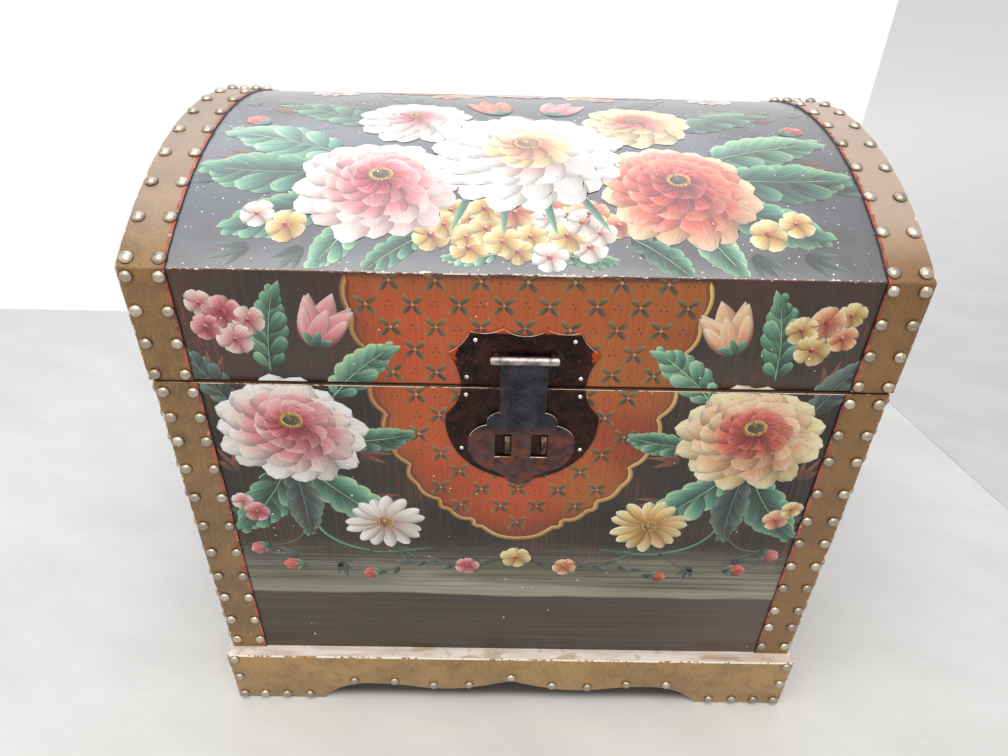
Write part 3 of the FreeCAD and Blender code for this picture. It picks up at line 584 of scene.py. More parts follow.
def camera_or_mirror(tree: Tree, other: Socket, white: Socket) -> Socket:
    """Returns a shader for rays from the camera, mirrors and glass, and another one for the rest."""
    ray = add(tree, "LightPath")
    seen = add(tree, "Math", {0: ray[0], 1: ray[3]}, operation="MAXIMUM")[0]
    seen = add(tree, "Math", {0: seen, 1: ray[6]}, operation="MAXIMUM")[0]
    return add(tree, "MixShader", {0: seen, 1: other, 2: white})[0]


@dataclass(frozen=True)
class WhiteCard(Finish):
    """Matt white paper with a trace of grain, seen by the camera and in the varnish as pure white."""

    def shader(self, tree: Tree) -> Socket:
        """Returns a card that shines white to the camera and to glossy surfaces alone."""
        grain = Pattern(tree).lay("#F1F1F2", ("#F7F7F8", 3.0, 0.0, 1.0))
        paper = add(tree, "BsdfPrincipled", {"Base Color": grain, "Roughness": 0.8})[0]
        return camera_or_mirror(tree, paper, add(tree, "Emission", {"Color": "#FFFFFF", "Strength": 1.0})[0])


GROUND_FRONT = VarnishedGround("oil_ground_varnished_front", table=True, chipped=(2, BODY_TOP / MM, 0.9))
GROUND_LID = VarnishedGround(
    "oil_ground_varnished_lid_front", streaked=(1.0, 1.0, 30.0), dark="#251A14", light="#3C2B20", red=0.9,
    cloud="#4A2519",
)
# The dome's ground is blue-grey where the other boards are brown-black: painted glare of the sky on its
# varnish.
GROUND_DOME = VarnishedGround(
    "oil_ground_varnished_dome_painted_glare", chipped=(1, LID_FRONT / MM, 1.5), streaked=(30.0, 1.0, 1.0), dark="#30333B",
    light="#494D51", red=0.6, clean=0.05, gloss=1.0, spacing=3.2, shine=1.0, cloud="#2A1A16",
)
GROUND_SIDES = VarnishedGround("oil_ground_varnished_ends", red=0.35)
LEATHERCLOTH = Leathercloth("leathercloth_bronzed", "#96703A", "#B3894A", "#C8A264")
BAND_CLOTH = BandLeathercloth("leathercloth_bronzed_strip")
BAND_CLOTH_LID = BandLeathercloth("leathercloth_bronzed_strip_painted_glare", dome_glare=0.30)
LEDGE = GlareLedge("plinth_top_painted_glare")
RIDGE_CHIPS = ChippedEdge("arris_chipped_to_gesso", "#54301F", "#DDCBBF", 0.28, 60.0)
SEAM_CHIPS = ChippedEdge("arris_rubbed_pink", "#7A4A38", "#E6C2AE", 0.8)
# The lid's lower arris is darker than its ground: painted shade of the seam, over chipped paint.
LID_CHIPS = ChippedEdge("arris_dark_paint_and_seam_shade", "#1E1512", "#8A5A44", 0.2)
PLINTH_CHIPS = ChippedEdge("arris_rubbed_cream", "#B39560", "#F4EDDD", 0.8)
MANGO_LONG = BareBoard("mango_wood_planed_lengthwise")
MANGO_DEEP = BareBoard("mango_wood_planed_crosswise", (1.0, 18.0, 1.0))
MANGO_RIM = BareBoard("mango_wood_rim_soiled_and_shaded", (12.0, 12.0, 1.0), "#4A3626", "#2C1F16")
STUD_METAL = DomedStud("brass_stud_nickelled_tarnished")
PLATE_IRON = BronzedIron("sheet_iron_oil_blacked")
PLATE_LID_IRON = BronzedIron("sheet_iron_oil_blacked_overpainted", overpaint=343.6)
HASP_IRON = BronzedIron("sheet_iron_oil_blacked_rusted", "#24242A", "#3C3A40", 0.8, 276.0)
STAPLE_IRON = BrightMetal("steel_staple_browned", "#5A4A40", "#33261F", 3.0)
# Pale rim and dark rim of the sheet iron, chosen by which way a rim faces: painted highlight and painted
# shade.
IRON_EDGE_HIGHLIGHT = BrightMetal("sheet_iron_edge_painted_highlight", "#F0D9C0", "#A98468", 5.0)
IRON_EDGE_SHADE = BrightMetal("sheet_iron_edge_painted_shade", "#5A463C", "#2C1C18", 5.0)
PIN_STEEL = BrightMetal("steel_wire_rubbed", "#AAA09F", "#7C6E6C", 6.0)
NAIL_STEEL = BrightMetal("steel_nail_bright", "#E6E0D6", "#A09484", 4.0)
HINGE_BRASS = BrightMetal("brass_leaf_rolled_tarnished", "#B08D4F", "#8A6C3C", 3.0)
OIL_PAINT = BrushedOil("artists_oil_brushed_varnished")
OIL_PAINT_DOME = BrushedOil("artists_oil_brushed_varnished_dome", 0.9)


# Shaping

SAME_POINT = 0.002 * MM  # distance under which two points are one
FLAT = math.radians(0.5)  # angle under which two faces are one
SHARP = math.radians(28)  # angle over which an edge is rounded


def select_only(piece: Piece | None = None) -> None:
    """Deselects everything, then selects a piece and makes it active."""
    bpy.ops.object.select_all(action="DESELECT")
    if piece:
        piece.select_set(True)
        bpy.context.view_layer.objects.active = piece


def apply_modifier(piece: Piece, kind: str, **settings: object) -> None:
    """Adds a modifier of a kind to a piece, gives it its settings and applies it."""
    modifier = piece.modifiers.new(kind.lower(), kind)
    for name, value in settings.items():
        setattr(modifier, name, value)
    select_only(piece)
    bpy.ops.object.modifier_apply(modifier=modifier.name)


def new_piece(name: str, data: bpy.types.ID) -> Piece:
    """Puts a mesh, lamp or camera in the scene."""
    piece = bpy.data.objects.new(name, data)
    bpy.context.scene.collection.objects.link(piece)
    return piece


def mark(mesh: bpy.types.Mesh, **marks: Points) -> None:
    """Stores a number or a vector for each point of a mesh, under the name that its finish reads."""
    for name, values in marks.items():
        kind, field = ("FLOAT", "value") if values.ndim == 1 else ("FLOAT_VECTOR", "vector")
        values = values.astype(np.float32).ravel()
        mesh.attributes.new(name, kind, "POINT").data.foreach_set(field, values)


def wear_materials(piece: Piece, *finishes: Finish) -> None:
    """Gives a piece its materials in slot order, and keeps each face's slot."""
    slots = piece.data.materials
    while len(slots) > len(finishes):
        slots.pop()
    while len(slots) < len(finishes):
        slots.append(None)
    for index, finish in enumerate(finishes):
        slots[index] = finish.material()


def rounded_copy(node: str, name: str, width: float, chosen: Callable[[Vector], bool] = lambda middle: True,
                 segments: int = 2, clamp: bool = True) -> Piece:
    """Copies a CAD node as whole faces and rounds its sharp edges, whose new faces take slot 1.

    Args:
        node: Name of the CAD node.
        name: Name of the copy.
        width: Width of the rounding.
        chosen: Tells from an edge's middle whether it is rounded.
        segments: Faces across the rounding.
        clamp: Whether the narrowest place limits the rounding everywhere.

    Returns:
        The copy.
    """
    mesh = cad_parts[node].data.copy()
    mesh.name = name
    piece = new_piece(name, mesh)
    select_only(piece)
    bpy.ops.mesh.customdata_custom_splitnormals_clear()
    bpy.ops.object.mode_set(mode="EDIT")
    bpy.ops.mesh.select_mode(type="EDGE")
    bpy.ops.mesh.select_all(action="SELECT")
    bpy.ops.mesh.remove_doubles(threshold=SAME_POINT)
    bpy.ops.mesh.dissolve_limited(angle_limit=FLAT)
    bpy.ops.mesh.select_all(action="DESELECT")
    bpy.ops.mesh.edges_select_sharp(sharpness=SHARP)
    bpy.ops.object.mode_set(mode="OBJECT")
    wear_materials(piece, LEATHERCLOTH, LEATHERCLOTH, LEATHERCLOTH)
    weights = mesh.attributes.new("bevel_weight_edge", "FLOAT", "EDGE")
    for edge in mesh.edges:
        middle = (mesh.vertices[edge.vertices[0]].co + mesh.vertices[edge.vertices[1]].co) / 2
        weights.data[edge.index].value = float(edge.select and chosen(middle))
    settings = {"width": width, "segments": segments, "use_clamp_overlap": clamp}
    apply_modifier(piece, "BEVEL", limit_method="WEIGHT", material=1, **settings)
    return piece


def paint_faces(piece: Piece, slot: int, chosen: Callable, rims: bool = False) -> None:
    """Gives flat faces, or else the rims in slot 1, another slot by their centre and normal."""
    for face in piece.data.polygons:
        if (face.material_index == 1) == rims and chosen(face.center, face.normal):
            face.material_index = slot


def finish_piece(piece: Piece, body: str, slot: str, finishes: Sequence[Finish], *nodes: str,
                 degrees: float = 35.0) -> None:
    """Dresses and shades a piece, hangs it on the body that it rides on and hides the CAD nodes that it
    stands for.

    Args:
        piece: The piece.
        body: Body that it rides on.
        slot: CAD slot that its finish is from. Not used.
        finishes: Materials in slot order.
        nodes: CAD nodes that it stands for.
        degrees: Angle from which an edge stays sharp.
    """
    wear_materials(piece, *finishes)
    select_only(piece)
    bpy.ops.object.shade_smooth_by_angle(angle=math.radians(degrees))
    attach(piece, body)
    if nodes:
        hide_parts(*nodes)
    LOG.info("%s: %d faces, rides on %s", piece.name, len(piece.data.polygons), body)


def dome_point(x: float, arc: float, lift: float = 0.0) -> tuple[float, float, float]:
    """Returns the point on the dome that is arc behind its front ridge and lift above its skin."""
    angle = arc / DOME_RADIUS - HALF_ANGLE
    radius = DOME_RADIUS + lift
    return x, DOME_MIDDLE + radius * math.sin(angle), DOME_CENTRE + radius * math.cos(angle)


CHEST, LID, ARM = "chest_body", "lid", "hasp_arm"
SIDES = (("front", 1, -1), ("back", 1, 1), ("left", 0, -1), ("right", 0, 1))
PAIR = (("left", -1), ("right", 1))


@dataclass(frozen=True)
class Boards:
    """Boards of the body, plinth and lid, with arrises rounded by wear."""

    rim: float = 0.3 * MM  # rounding of the body's upper edge
    lip: float = 0.25 * MM  # rounding of the lid's lower edge
    arris: float = 0.9 * MM  # rounding of the plinth boards
    ridge: float = 0.5 * MM  # rounding of the dome's ridges

    def wall(self, part: str, side: str, axis: int, sign: int) -> None:
        """Dresses an upright board: painted outside, bare inside and dark on its open edge, soiled and
        darkened further as painted shade of the seam.

        Args:
            part: "body" or "lid".
            side: Side that it closes.
            axis: Number of the axis across it.
            sign: Direction of its outer face on that axis.
        """
        node = f"{part}_{side}_{'board' if axis else 'end'}"
        if part == "body":
            body, up, edge, width, worn, front = CHEST, 1, BODY_TOP, self.rim, SEAM_CHIPS, GROUND_FRONT
        else:
            body, up, edge, width, worn, front = LID, -1, LID_BOTTOM, self.lip, LID_CHIPS, GROUND_LID
        piece = rounded_copy(node, f"{part}_board_{side}", width, lambda m: abs(m.z - edge) < MM)
        ground = front if side == "front" else GROUND_SIDES
        paint_faces(piece, 2, lambda c, n: n[axis] * sign < -0.5)
        # Soiled wood and painted shade: the open edge, hidden in the seam when the lid is shut, is dark
        # brown.
        paint_faces(piece, 3, lambda c, n: n.z * up > 0.5)
        coats = (ground, worn, MANGO_LONG if axis else MANGO_DEEP, MANGO_RIM)
        finish_piece(piece, body, "painted_wood", coats, node)

    def bottom(self) -> None:
        """Dresses the bottom board, bare all round."""
        floor = rounded_copy("body_bottom", "body_board_bottom", self.ridge)
        finish_piece(floor, CHEST, "bare_wood", (MANGO_LONG, MANGO_LONG), "body_bottom")

    def foot(self, side: str, axis: int, sign: int) -> None:
        """Dresses a plinth board: leathercloth face, a ledge on top painted pale as glare, and a bare back.
        """
        piece = rounded_copy(f"plinth_{side}", f"plinth_board_{side}", self.arris, segments=3)
        paint_faces(piece, 2, lambda c, n: n[axis] * sign < 0.5 and c.z < PLINTH_TOP - MM)
        paint_faces(piece, 0, lambda c, n: abs(n[1 - axis]) > 0.9)
        # Painted glare: the upward faces of the ledge take the pale beige finish.
        paint_faces(piece, 3, lambda c, n: n.z > 0.9 and c.z > PLINTH_TOP - MM)
        paint_faces(piece, 0, lambda c, n: n.z < -0.1, True)
        coats = (LEATHERCLOTH, PLINTH_CHIPS, MANGO_LONG if axis else MANGO_DEEP, LEDGE)
        finish_piece(piece, CHEST, "plinth_leathercloth", coats, f"plinth_{side}")

    def dome(self) -> None:
        """Dresses the domed panel, whose front and back ridges are chipped."""
        piece = rounded_copy("lid_dome_panel", "lid_dome", self.ridge,
                             lambda m: abs(m.z - RIDGE) < MM and abs(m.x) < LID_SIDE - MM, 3)
        middle = Vector((0.0, DOME_MIDDLE, DOME_CENTRE))
        inner = DOME_RADIUS - (DOME_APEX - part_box("lid_left_end")[1].z) / 2
        paint_faces(piece, 2, lambda c, n: (c - middle).yz.length < inner and abs(n.y) < 0.9)
        paint_faces(piece, 3, lambda c, n: n.y < -0.9)
        coats = (GROUND_DOME, RIDGE_CHIPS, MANGO_LONG, GROUND_LID)
        finish_piece(piece, LID, "painted_wood", coats, "lid_dome_panel")

    def build(self) -> None:
        """Dresses every board."""
        for side in SIDES:
            self.wall("body", *side)
            self.foot(*side)
            self.wall("lid", *side)
        self.bottom()
        self.dome()


def stud_nodes() -> list[str]:
    """Returns the CAD nodes of studs in a fixed order."""
    return sorted(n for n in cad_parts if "_studs" in n)


def stud_places(node: str) -> list[tuple[Vector, Vector, float, float]]:
    """Reads the foot, outward direction, radius and rise of each stud's head from a CAD node."""
    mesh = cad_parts[node].data
    points = np.array([v.co for v in mesh.vertices], float)
    corners = np.array([p.vertices[:] for p in mesh.polygons])
    keys = np.unique(np.round(points / (0.01 * MM)).astype(int), axis=0, return_inverse=True)[1].ravel()
    parent = np.arange(keys.max() + 1)

    def root(item: int) -> int:
        """Returns the first point of an item's solid."""
        while parent[item] != item:
            parent[item] = parent[parent[item]]
            item = parent[item]
        return item

    for a, b, c in keys[corners]:
        first = root(a)
        parent[root(b)] = first
        parent[root(c)] = first
    label = np.array([root(k) for k in keys])
    return [read_stud(points[label == item]) for item in np.unique(label)]


def read_stud(points: Points) -> tuple[Vector, Vector, float, float]:
    """Finds the foot, outward direction, radius and rise of a stud's head from its solid's points."""
    middle = (points.max(0) + points.min(0)) / 2
    values, vectors = np.linalg.eigh(np.cov((points - points.mean(0)).T))
    gaps = [abs(values[i] - (values.sum() - values[i]) / 2) for i in range(3)]
    axis = vectors[:, int(np.argmax(gaps))]
    found = []
    for out in (axis, -axis):
        rise = (points - middle) @ out
        spread = np.linalg.norm((points - middle) - np.outer(rise, out), axis=1)
        foot = rise[spread > 0.97 * spread.max()].mean()
        radius, high = float(spread.max()), float(rise.max() - foot)
        found.append((Vector(middle + out * foot), Vector(out), radius, high))
    return min(found, key=lambda stud: stud[3])


@dataclass(frozen=True)
class Studs:
    """All the domed studs: one worn pressed head, modelled once and copied to every place."""

    sides: int = 14  # faces round a head
    tilt: float = 5.0  # largest lean in degrees
    dents: float = 0.05  # depth of dents as a share of the head
    sunk: float = 0.12 * MM  # how deep a head sits in the leathercloth

    def head(self) -> tuple[Points, list[tuple]]:
        """Models one head of radius 1 and rise 1: a dome that turns in a little at its foot."""
        select_only()
        bpy.ops.mesh.primitive_uv_sphere_add(segments=self.sides, ring_count=10, radius=1.0)
        piece = bpy.context.object
        bpy.ops.object.mode_set(mode="EDIT")
        bpy.ops.mesh.select_all(action="SELECT")
        bpy.ops.mesh.bisect(plane_co=(0, 0, 0), plane_no=(0, 0, 1), clear_inner=True, use_fill=True)
        bpy.ops.object.mode_set(mode="OBJECT")
        for vertex in piece.data.vertices:
            high = vertex.co.z
            vertex.co.xy *= 0.985 if high < 0.05 else 1.0 + 0.03 * math.sin(math.pi * high)
        points = np.array([v.co for v in piece.data.vertices], float)
        faces = [tuple(f.vertices) for f in piece.data.polygons]
        bpy.data.objects.remove(piece)
        return points, faces

    def row(self, node: str, head: tuple[Points, list[tuple]], draw: random.Random) -> None:
        """Copies the head to the places of one CAD node, each a little different.

        Args:
            node: The node.
            head: Points and faces of the head.
            draw: Source of the differences.
        """
        shape, faces = head
        points, polygons, rises, lots = [], [], [], []
        for foot, out, radius, rise in stud_places(node):
            turn = out.to_track_quat("Z", "Y").to_matrix() @ Matrix.Rotation(draw.uniform(0, 6.28), 3, "Z")
            turn = turn @ Matrix.Rotation(math.radians(draw.uniform(0, self.tilt)), 3, "X")
            wide = radius * draw.uniform(0.96, 1.02)
            seed = Vector([draw.uniform(0, 50) for _ in range(3)])
            polygons += [tuple(len(points) + i for i in face) for face in faces]
            for x, y, z in shape:
                dent = 1.0 + self.dents * noise.noise(Vector((x, y, z)) * 1.7 + seed)
                points.append(foot + turn @ Vector((x * wide, y * wide, z * rise)) * dent - out * self.sunk)
            rises += list(shape[:, 2])
            lots += [draw.random()] * len(shape)
        mesh = bpy.data.meshes.new(node + "_heads")
        mesh.from_pydata([tuple(p) for p in points], [], polygons)
        mark(mesh, stud_rise=np.array(rises), stud_lot=np.array(lots))
        piece = new_piece(node + "_heads", mesh)
        body = LID if node.startswith("lid") else CHEST
        finish_piece(piece, body, "stud_brass", (STUD_METAL,), node, degrees=50.0)

    def build(self) -> None:
        """Models the head and sets every row of the body, plinth and lid."""
        head = self.head()
        draw = random.Random(7)
        for node in stud_nodes():
            self.row(node, head, draw)


@dataclass(frozen=True)
class Strip:
    """A leathercloth strip over one upright corner, folded onto the end."""

    name: str
    node: str
    body: str  # body that it rides on
    side: int  # -1 on the left and 1 on the right
    path: list[tuple[float, float]]  # its outline, as (y, z) points
    inner: float  # distance of the inner edge from the middle
    outer: float  # distance of the fold from the middle
    depth: float  # reach of the leaf on the end
    fold: float = 1.5 * MM  # radius of the fold
    thick: float = 1.0 * MM  # its thickness
    step: float = 2.3 * MM  # length of its rows
    sag: float = 0.32 * MM  # how deep a stud draws it in
    pull: float = 4.4 * MM  # how far from a stud it is drawn in
    puff: float = 0.16 * MM  # how far it stands off between studs
    wave: float = 0.35 * MM  # how far its edges stray
    across: tuple[int, int] = (12, 10)  # columns on the board and on the end
    fine: float = 0.25 * MM  # length of the parts in which its outline is read
    ease: int = 5  # parts on each side over which a bend is eased
    kink: float = 0.03  # turn between parts, in radians, that takes rows of its own
    mitred: float = 0.3  # turn at a ridge, in radians, from which the leaf is mitred

    def rows(self) -> tuple[Points, Points, list[Vector]]:
        """Samples the outline evenly with its bends eased.

        Returns:
            Points (y, z), inward directions and ends of the leaf.
        """
        corners = [Vector(p) for p in self.path]
        dense = []
        for a, b in zip(corners, corners[1:]):
            count = max(2, int((b - a).length / self.fine))
            dense += [a.lerp(b, i / count) for i in range(count)]
        raw = np.array([tuple(p) for p in dense + corners[-1:]])
        reach = self.ease
        padded = np.vstack([raw[:1] * 2 - raw[reach:0:-1], raw, raw[-1:] * 2 - raw[-2 : -reach - 2 : -1]])
        kernel = np.ones(2 * reach + 1) / (2 * reach + 1)
        eased = np.column_stack([np.convolve(padded[:, i], kernel, "valid") for i in (0, 1)])
        length = running_length(eased)
        places = list(np.linspace(0, length[-1], max(2, round(length[-1] / self.step)) + 1))
        slope = np.gradient(eased, axis=0)
        bend = np.abs(np.diff(np.unwrap(np.arctan2(slope[:, 1], slope[:, 0]))))
        places += [length[i] for i in np.where(bend > self.kink)[0][::2]]
        places = np.unique(np.round(places, 5))
        spots, way = sample(places, length, eased), sample(places, length, slope)
        way /= np.linalg.norm(way, axis=1, keepdims=True)
        inward = np.column_stack([way[:, 1], -way[:, 0]])
        toward = np.array([DOME_MIDDLE, min(spots[:, 1].max(), 0.25)]) - spots
        inward *= 1.0 if (inward * toward).sum() > 0 else -1.0
        return spots, inward, self.leaf_ends(spots, inward, places)

    def leaf_ends(self, spots: Points, inward: Points, places: Points) -> list[Vector]:
        """Ends each row's leaf straight inward, or at the mitre near a ridge.

        Args:
            spots: Points of the rows.
            inward: Inward directions of the rows.
            places: Distances of the rows along the strip.

        Returns:
            The leaf's end for each row.
        """
        ends = [Vector(p + d * self.depth) for p, d in zip(spots, inward)]
        for ridge in self.path[1:-1]:
            near = int(np.argmin(np.linalg.norm(spots - np.array(ridge), axis=1)))
            before, after = Vector(inward[max(near - 4, 0)]), Vector(inward[min(near + 4, len(spots) - 1)])
            turned = before.angle(after)
            if turned < self.mitred:
                continue
            mitre = Vector(ridge) + (before + after) / (1 + before.dot(after)) * self.depth
            reach = self.depth * math.tan(turned / 2)
            for i, place in enumerate(places):
                if abs(place - places[near]) < reach:
                    ends[i] = mitre.copy()
        return ends

    def section(self) -> list[tuple[float, float, float]]:
        """Returns each column's distances from the inner edge and the middle, and its turn in the fold."""
        flat, corner = self.outer - self.fold - self.inner, self.outer - self.fold
        columns = [(u, self.inner + u, 0.0) for u in np.linspace(0, flat, self.across[0])]
        for angle in (math.pi / 8, math.pi / 4, 3 * math.pi / 8):
            columns.append((flat + self.fold * angle, corner + self.fold * math.sin(angle), angle))
        start = flat + self.fold * math.pi / 2
        leaf = np.linspace(0, self.depth - self.fold, self.across[1])
        return columns + [(start + v, self.outer, math.pi / 2) for v in leaf]

    def build(self, studs: Points) -> None:
        """Makes the strip, puckered round its studs and wavy at its edges.

        Args:
            studs: Places of all studs.
        """
        spots, inward, ends = self.rows()
        columns = self.section()
        wide, high = len(columns), len(spots)
        select_only()
        bpy.ops.mesh.primitive_grid_add(x_subdivisions=wide - 1, y_subdivisions=high - 1, size=1.0)
        piece = bpy.context.object
        piece.name = piece.data.name = self.name
        mesh = piece.data
        grid = np.array([v.co for v in mesh.vertices], float)
        column = np.rint((grid[:, 0] + 0.5) * (wide - 1)).astype(int)
        line = np.rint((grid[:, 1] + 0.5) * (high - 1)).astype(int)
        along = running_length(spots)
        turned = columns[-self.across[1]][0]
        marks = np.zeros((len(grid), 3))
        places = np.zeros((len(grid), 3))
        for index, (c, r) in enumerate(zip(column, line)):
            u, x, angle = columns[c]
            edge, step = Vector(spots[r]), Vector(inward[r])
            wave = self.wave * noise.noise(Vector((along[r] * 90, self.side * 3.1, len(self.name))))
            if angle < math.pi / 2 - 1e-6:
                point = edge + step * self.fold * (1 - math.cos(angle))
            else:
                start = edge + step * self.fold
                point = start.lerp(ends[r], (u - turned) / (self.depth - self.fold))
                if c == wide - 1:
                    point += step * wave
            normal = Vector((self.side * math.sin(angle), *(-step * math.cos(angle))))
            place = Vector((self.side * (x + (wave if c == 0 else 0.0)), point.x, point.y))
            near = np.exp(-(((studs - np.array(place)) ** 2).sum(1)) / self.pull**2).max()
            puff = self.puff * (noise.noise(place * 70) + 0.4) - self.sag * near
            if c in (0, wide - 1):
                puff = min(puff, 0.0) + 0.05 * MM
            places[index] = np.array(place + normal * puff)
            marks[index] = (u / MM, along[r] / MM, 0.0)
        mesh.vertices.foreach_set("co", places.ravel())
        mark(mesh, strip=marks)
        mesh.update()
        first = mesh.polygons[len(mesh.polygons) // 2]
        facing = Vector((first.center.x, first.center.y - DOME_MIDDLE, first.center.z - 0.2))
        bpy.ops.object.mode_set(mode="EDIT")
        bpy.ops.mesh.select_all(action="SELECT")
        if first.normal.dot(facing) < 0:
            bpy.ops.mesh.flip_normals()
        bpy.ops.mesh.remove_doubles(threshold=0.01 * MM)
        bpy.ops.object.mode_set(mode="OBJECT")
        apply_modifier(piece, "SOLIDIFY", thickness=self.thick, offset=-1.0)
        cloth = BAND_CLOTH_LID if self.body == LID else BAND_CLOTH
        finish_piece(piece, self.body, "band_leather", (cloth,), self.node, degrees=45.0)


def running_length(points: Points) -> Points:
    """Returns the length of a polyline up to each of its points."""
    return np.concatenate([[0], np.cumsum(np.linalg.norm(np.diff(points, axis=0), axis=1))])


def sample(places: Points, length: Points, points: Points) -> Points:
    """Reads pairs, given along a running length, at other places on it."""
    return np.column_stack([np.interp(places, length, points[:, i]) for i in (0, 1)])


@dataclass(frozen=True)
class Bands:
    """The six leathercloth strips: four on the body's corners and two over the lid."""

    leaf: float = 22 * MM  # reach of the lid strips on the lid's ends
    bends: int = 80  # straight parts of a strip over the dome

    def build(self) -> None:
        """Makes every strip over the studs that hold it."""
        studs = np.array([tuple(place[0]) for node in stud_nodes() for place in stud_places(node)])
        low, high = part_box("body_band_front_right")
        leaf = high.y - low.y
        for front, face in (("front", low.y), ("back", -low.y)):
            for side, sign in PAIR:
                node, path = f"body_band_{front}_{side}", [(face, low.z), (face, high.z)]
                name = node.replace("band", "strip")
                Strip(name, node, CHEST, sign, path, low.x, high.x, leaf).build(studs)
        low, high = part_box("lid_band_right")
        top = DOME_RADIUS + high.z - DOME_APEX
        span = math.asin((DOME_MIDDLE - low.y) / top)
        arc = [-span + 2 * span * i / self.bends for i in range(self.bends + 1)]
        path = [(DOME_MIDDLE + top * math.sin(a), DOME_CENTRE + top * math.cos(a)) for a in arc]
        path = [(low.y, low.z), *path, (high.y, low.z)]
        for side, sign in PAIR:
            ends = (low.x, high.x, self.leaf)
            Strip(f"lid_strip_{side}", f"lid_band_{side}", LID, sign, path, *ends).build(studs)


@dataclass(frozen=True)
class Lock:
    """Hasp, plates, pin, eyes and staples."""

    arris: float = 0.3 * MM  # rounding of the sheet iron's edges
    barrel: float = 3.0 * MM  # radius of the hasp's rolled end

    def sheet(self, node: str, name: str, body: str, finish: Finish) -> None:
        """Dresses a sheet: painted highlight on rims that face up, painted shade on the other rims and on all
        of the body plate's.

        Args:
            node: The CAD node.
            name: Name of the piece.
            body: Body that it rides on.
            finish: Iron of its faces.
        """
        low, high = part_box("hasp_pin")
        top = low.z - self.barrel if body == ARM else math.inf
        piece = rounded_copy(node, name, self.arris, lambda m: m.z < top, clamp=body != ARM)
        # Painted light: rims that face down, and every rim of the body plate, take the dark edge; the rest
        # keep the pale one.
        paint_faces(piece, 3, lambda c, n: body == CHEST or n.z < 0.15, True)
        if body == ARM:
            pin, above = (low + high) / 2, (low.z + high.z - self.barrel) / 2
            # Painted highlight: faces on the upper half of the hasp's rolled barrel take the bright steel of
            # the pin.
            paint_faces(piece, 2, lambda c, n: (c - pin).yz.length < self.barrel and c.z > above)
        finish_piece(piece, body, "lock_iron", (finish, IRON_EDGE_HIGHLIGHT, PIN_STEEL, IRON_EDGE_SHADE), node)

    def build(self) -> None:
        """Dresses the sheet pieces, and the wire pieces with bright steel."""
        self.sheet("lock_plate_lid", "lock_sheet_lid", LID, PLATE_LID_IRON)
        self.sheet("lock_plate_body", "lock_sheet_body", CHEST, PLATE_IRON)
        self.sheet("hasp", "hasp_sheet", ARM, HASP_IRON)
        for node, finish in (("hasp_pin", PIN_STEEL), ("hasp_eyes", PIN_STEEL), ("hasp_staples", STAPLE_IRON),
                             ("lock_nails_lid", NAIL_STEEL), ("lock_nails_body", NAIL_STEEL)):
            wear_materials(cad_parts[node], finish)


@dataclass(frozen=True)
class Hinges:
    """The two brass butt hinges on the back, and the plinth's glue blocks."""

    arris: float = 0.25 * MM  # rounding of the leaves' edges

    def build(self) -> None:
        """Dresses leaves, pins, screws and blocks."""
        for part, body in (("body", CHEST), ("lid", LID)):
            for side in ("left", "right"):
                node = f"hinge_leaf_{part}_{side}"
                piece = rounded_copy(node, f"hinge_brass_{part}_{side}", self.arris)
                finish_piece(piece, body, "hinge_brass", (HINGE_BRASS, HINGE_BRASS), node)
        for node in ("hinge_screws_body", "hinge_screws_lid", "hinge_pin_left", "hinge_pin_right"):
            wear_materials(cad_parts[node], HINGE_BRASS)
        wear_materials(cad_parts["plinth_corner_blocks"], MANGO_LONG)


# Brushwork

Colour = np.ndarray
LIGHT = np.array([-0.55, 0.83])  # where the painter's light comes from
LAYER = 0.009  # thickness of a layer of paint, in millimetres
SLIGHT = 0.0025  # rise from one stroke to the next, so that no two lie in one plane
BACK = -0.02  # height of a stroke's back, under the skin of the wood


def mix(first: Colour, second: Colour, share: Points | float) -> Colour:
    """Mixes a share of the second paint into the first."""
    return first * (1 - share) + second * share


def ray(degrees: float) -> Points:
    """Returns the unit vector in a direction."""
    return np.array([math.cos(math.radians(degrees)), math.sin(math.radians(degrees))])


def aside(way: Points) -> Points:
    """Returns a direction, or each of many, turned a quarter to the left."""
    return np.stack([-way[..., 1], way[..., 0]], axis=-1)


@dataclass(frozen=True)
class Form:
    """Outline of a brush stroke, from 0 at its root to 1 at its tip."""

    rise: float  # how slowly it widens from the root
    fall: float  # how slowly it narrows to the tip
    ruffle: float = 0.0  # depth of the tip's lobes as a share of its length

    def width(self, along: Points) -> Points:
        """Returns the half width, at most 1, at places from 0 to 1 along the stroke."""
        peak = self.rise / (self.rise + self.fall)
        return along**self.rise * (1 - along) ** self.fall / (peak**self.rise * (1 - peak) ** self.fall)


class Brush(Enum):
    """The strokes that the painter's brushes make."""

    PETAL = Form(0.8, 0.40)
    RUFFLED = Form(0.9, 0.34, 0.07)
    COMMA = Form(0.42, 1.15)
    SLIM = Form(0.85, 0.55)
    LEAF = Form(0.62, 0.95)
    DOT = Form(0.5, 0.5)


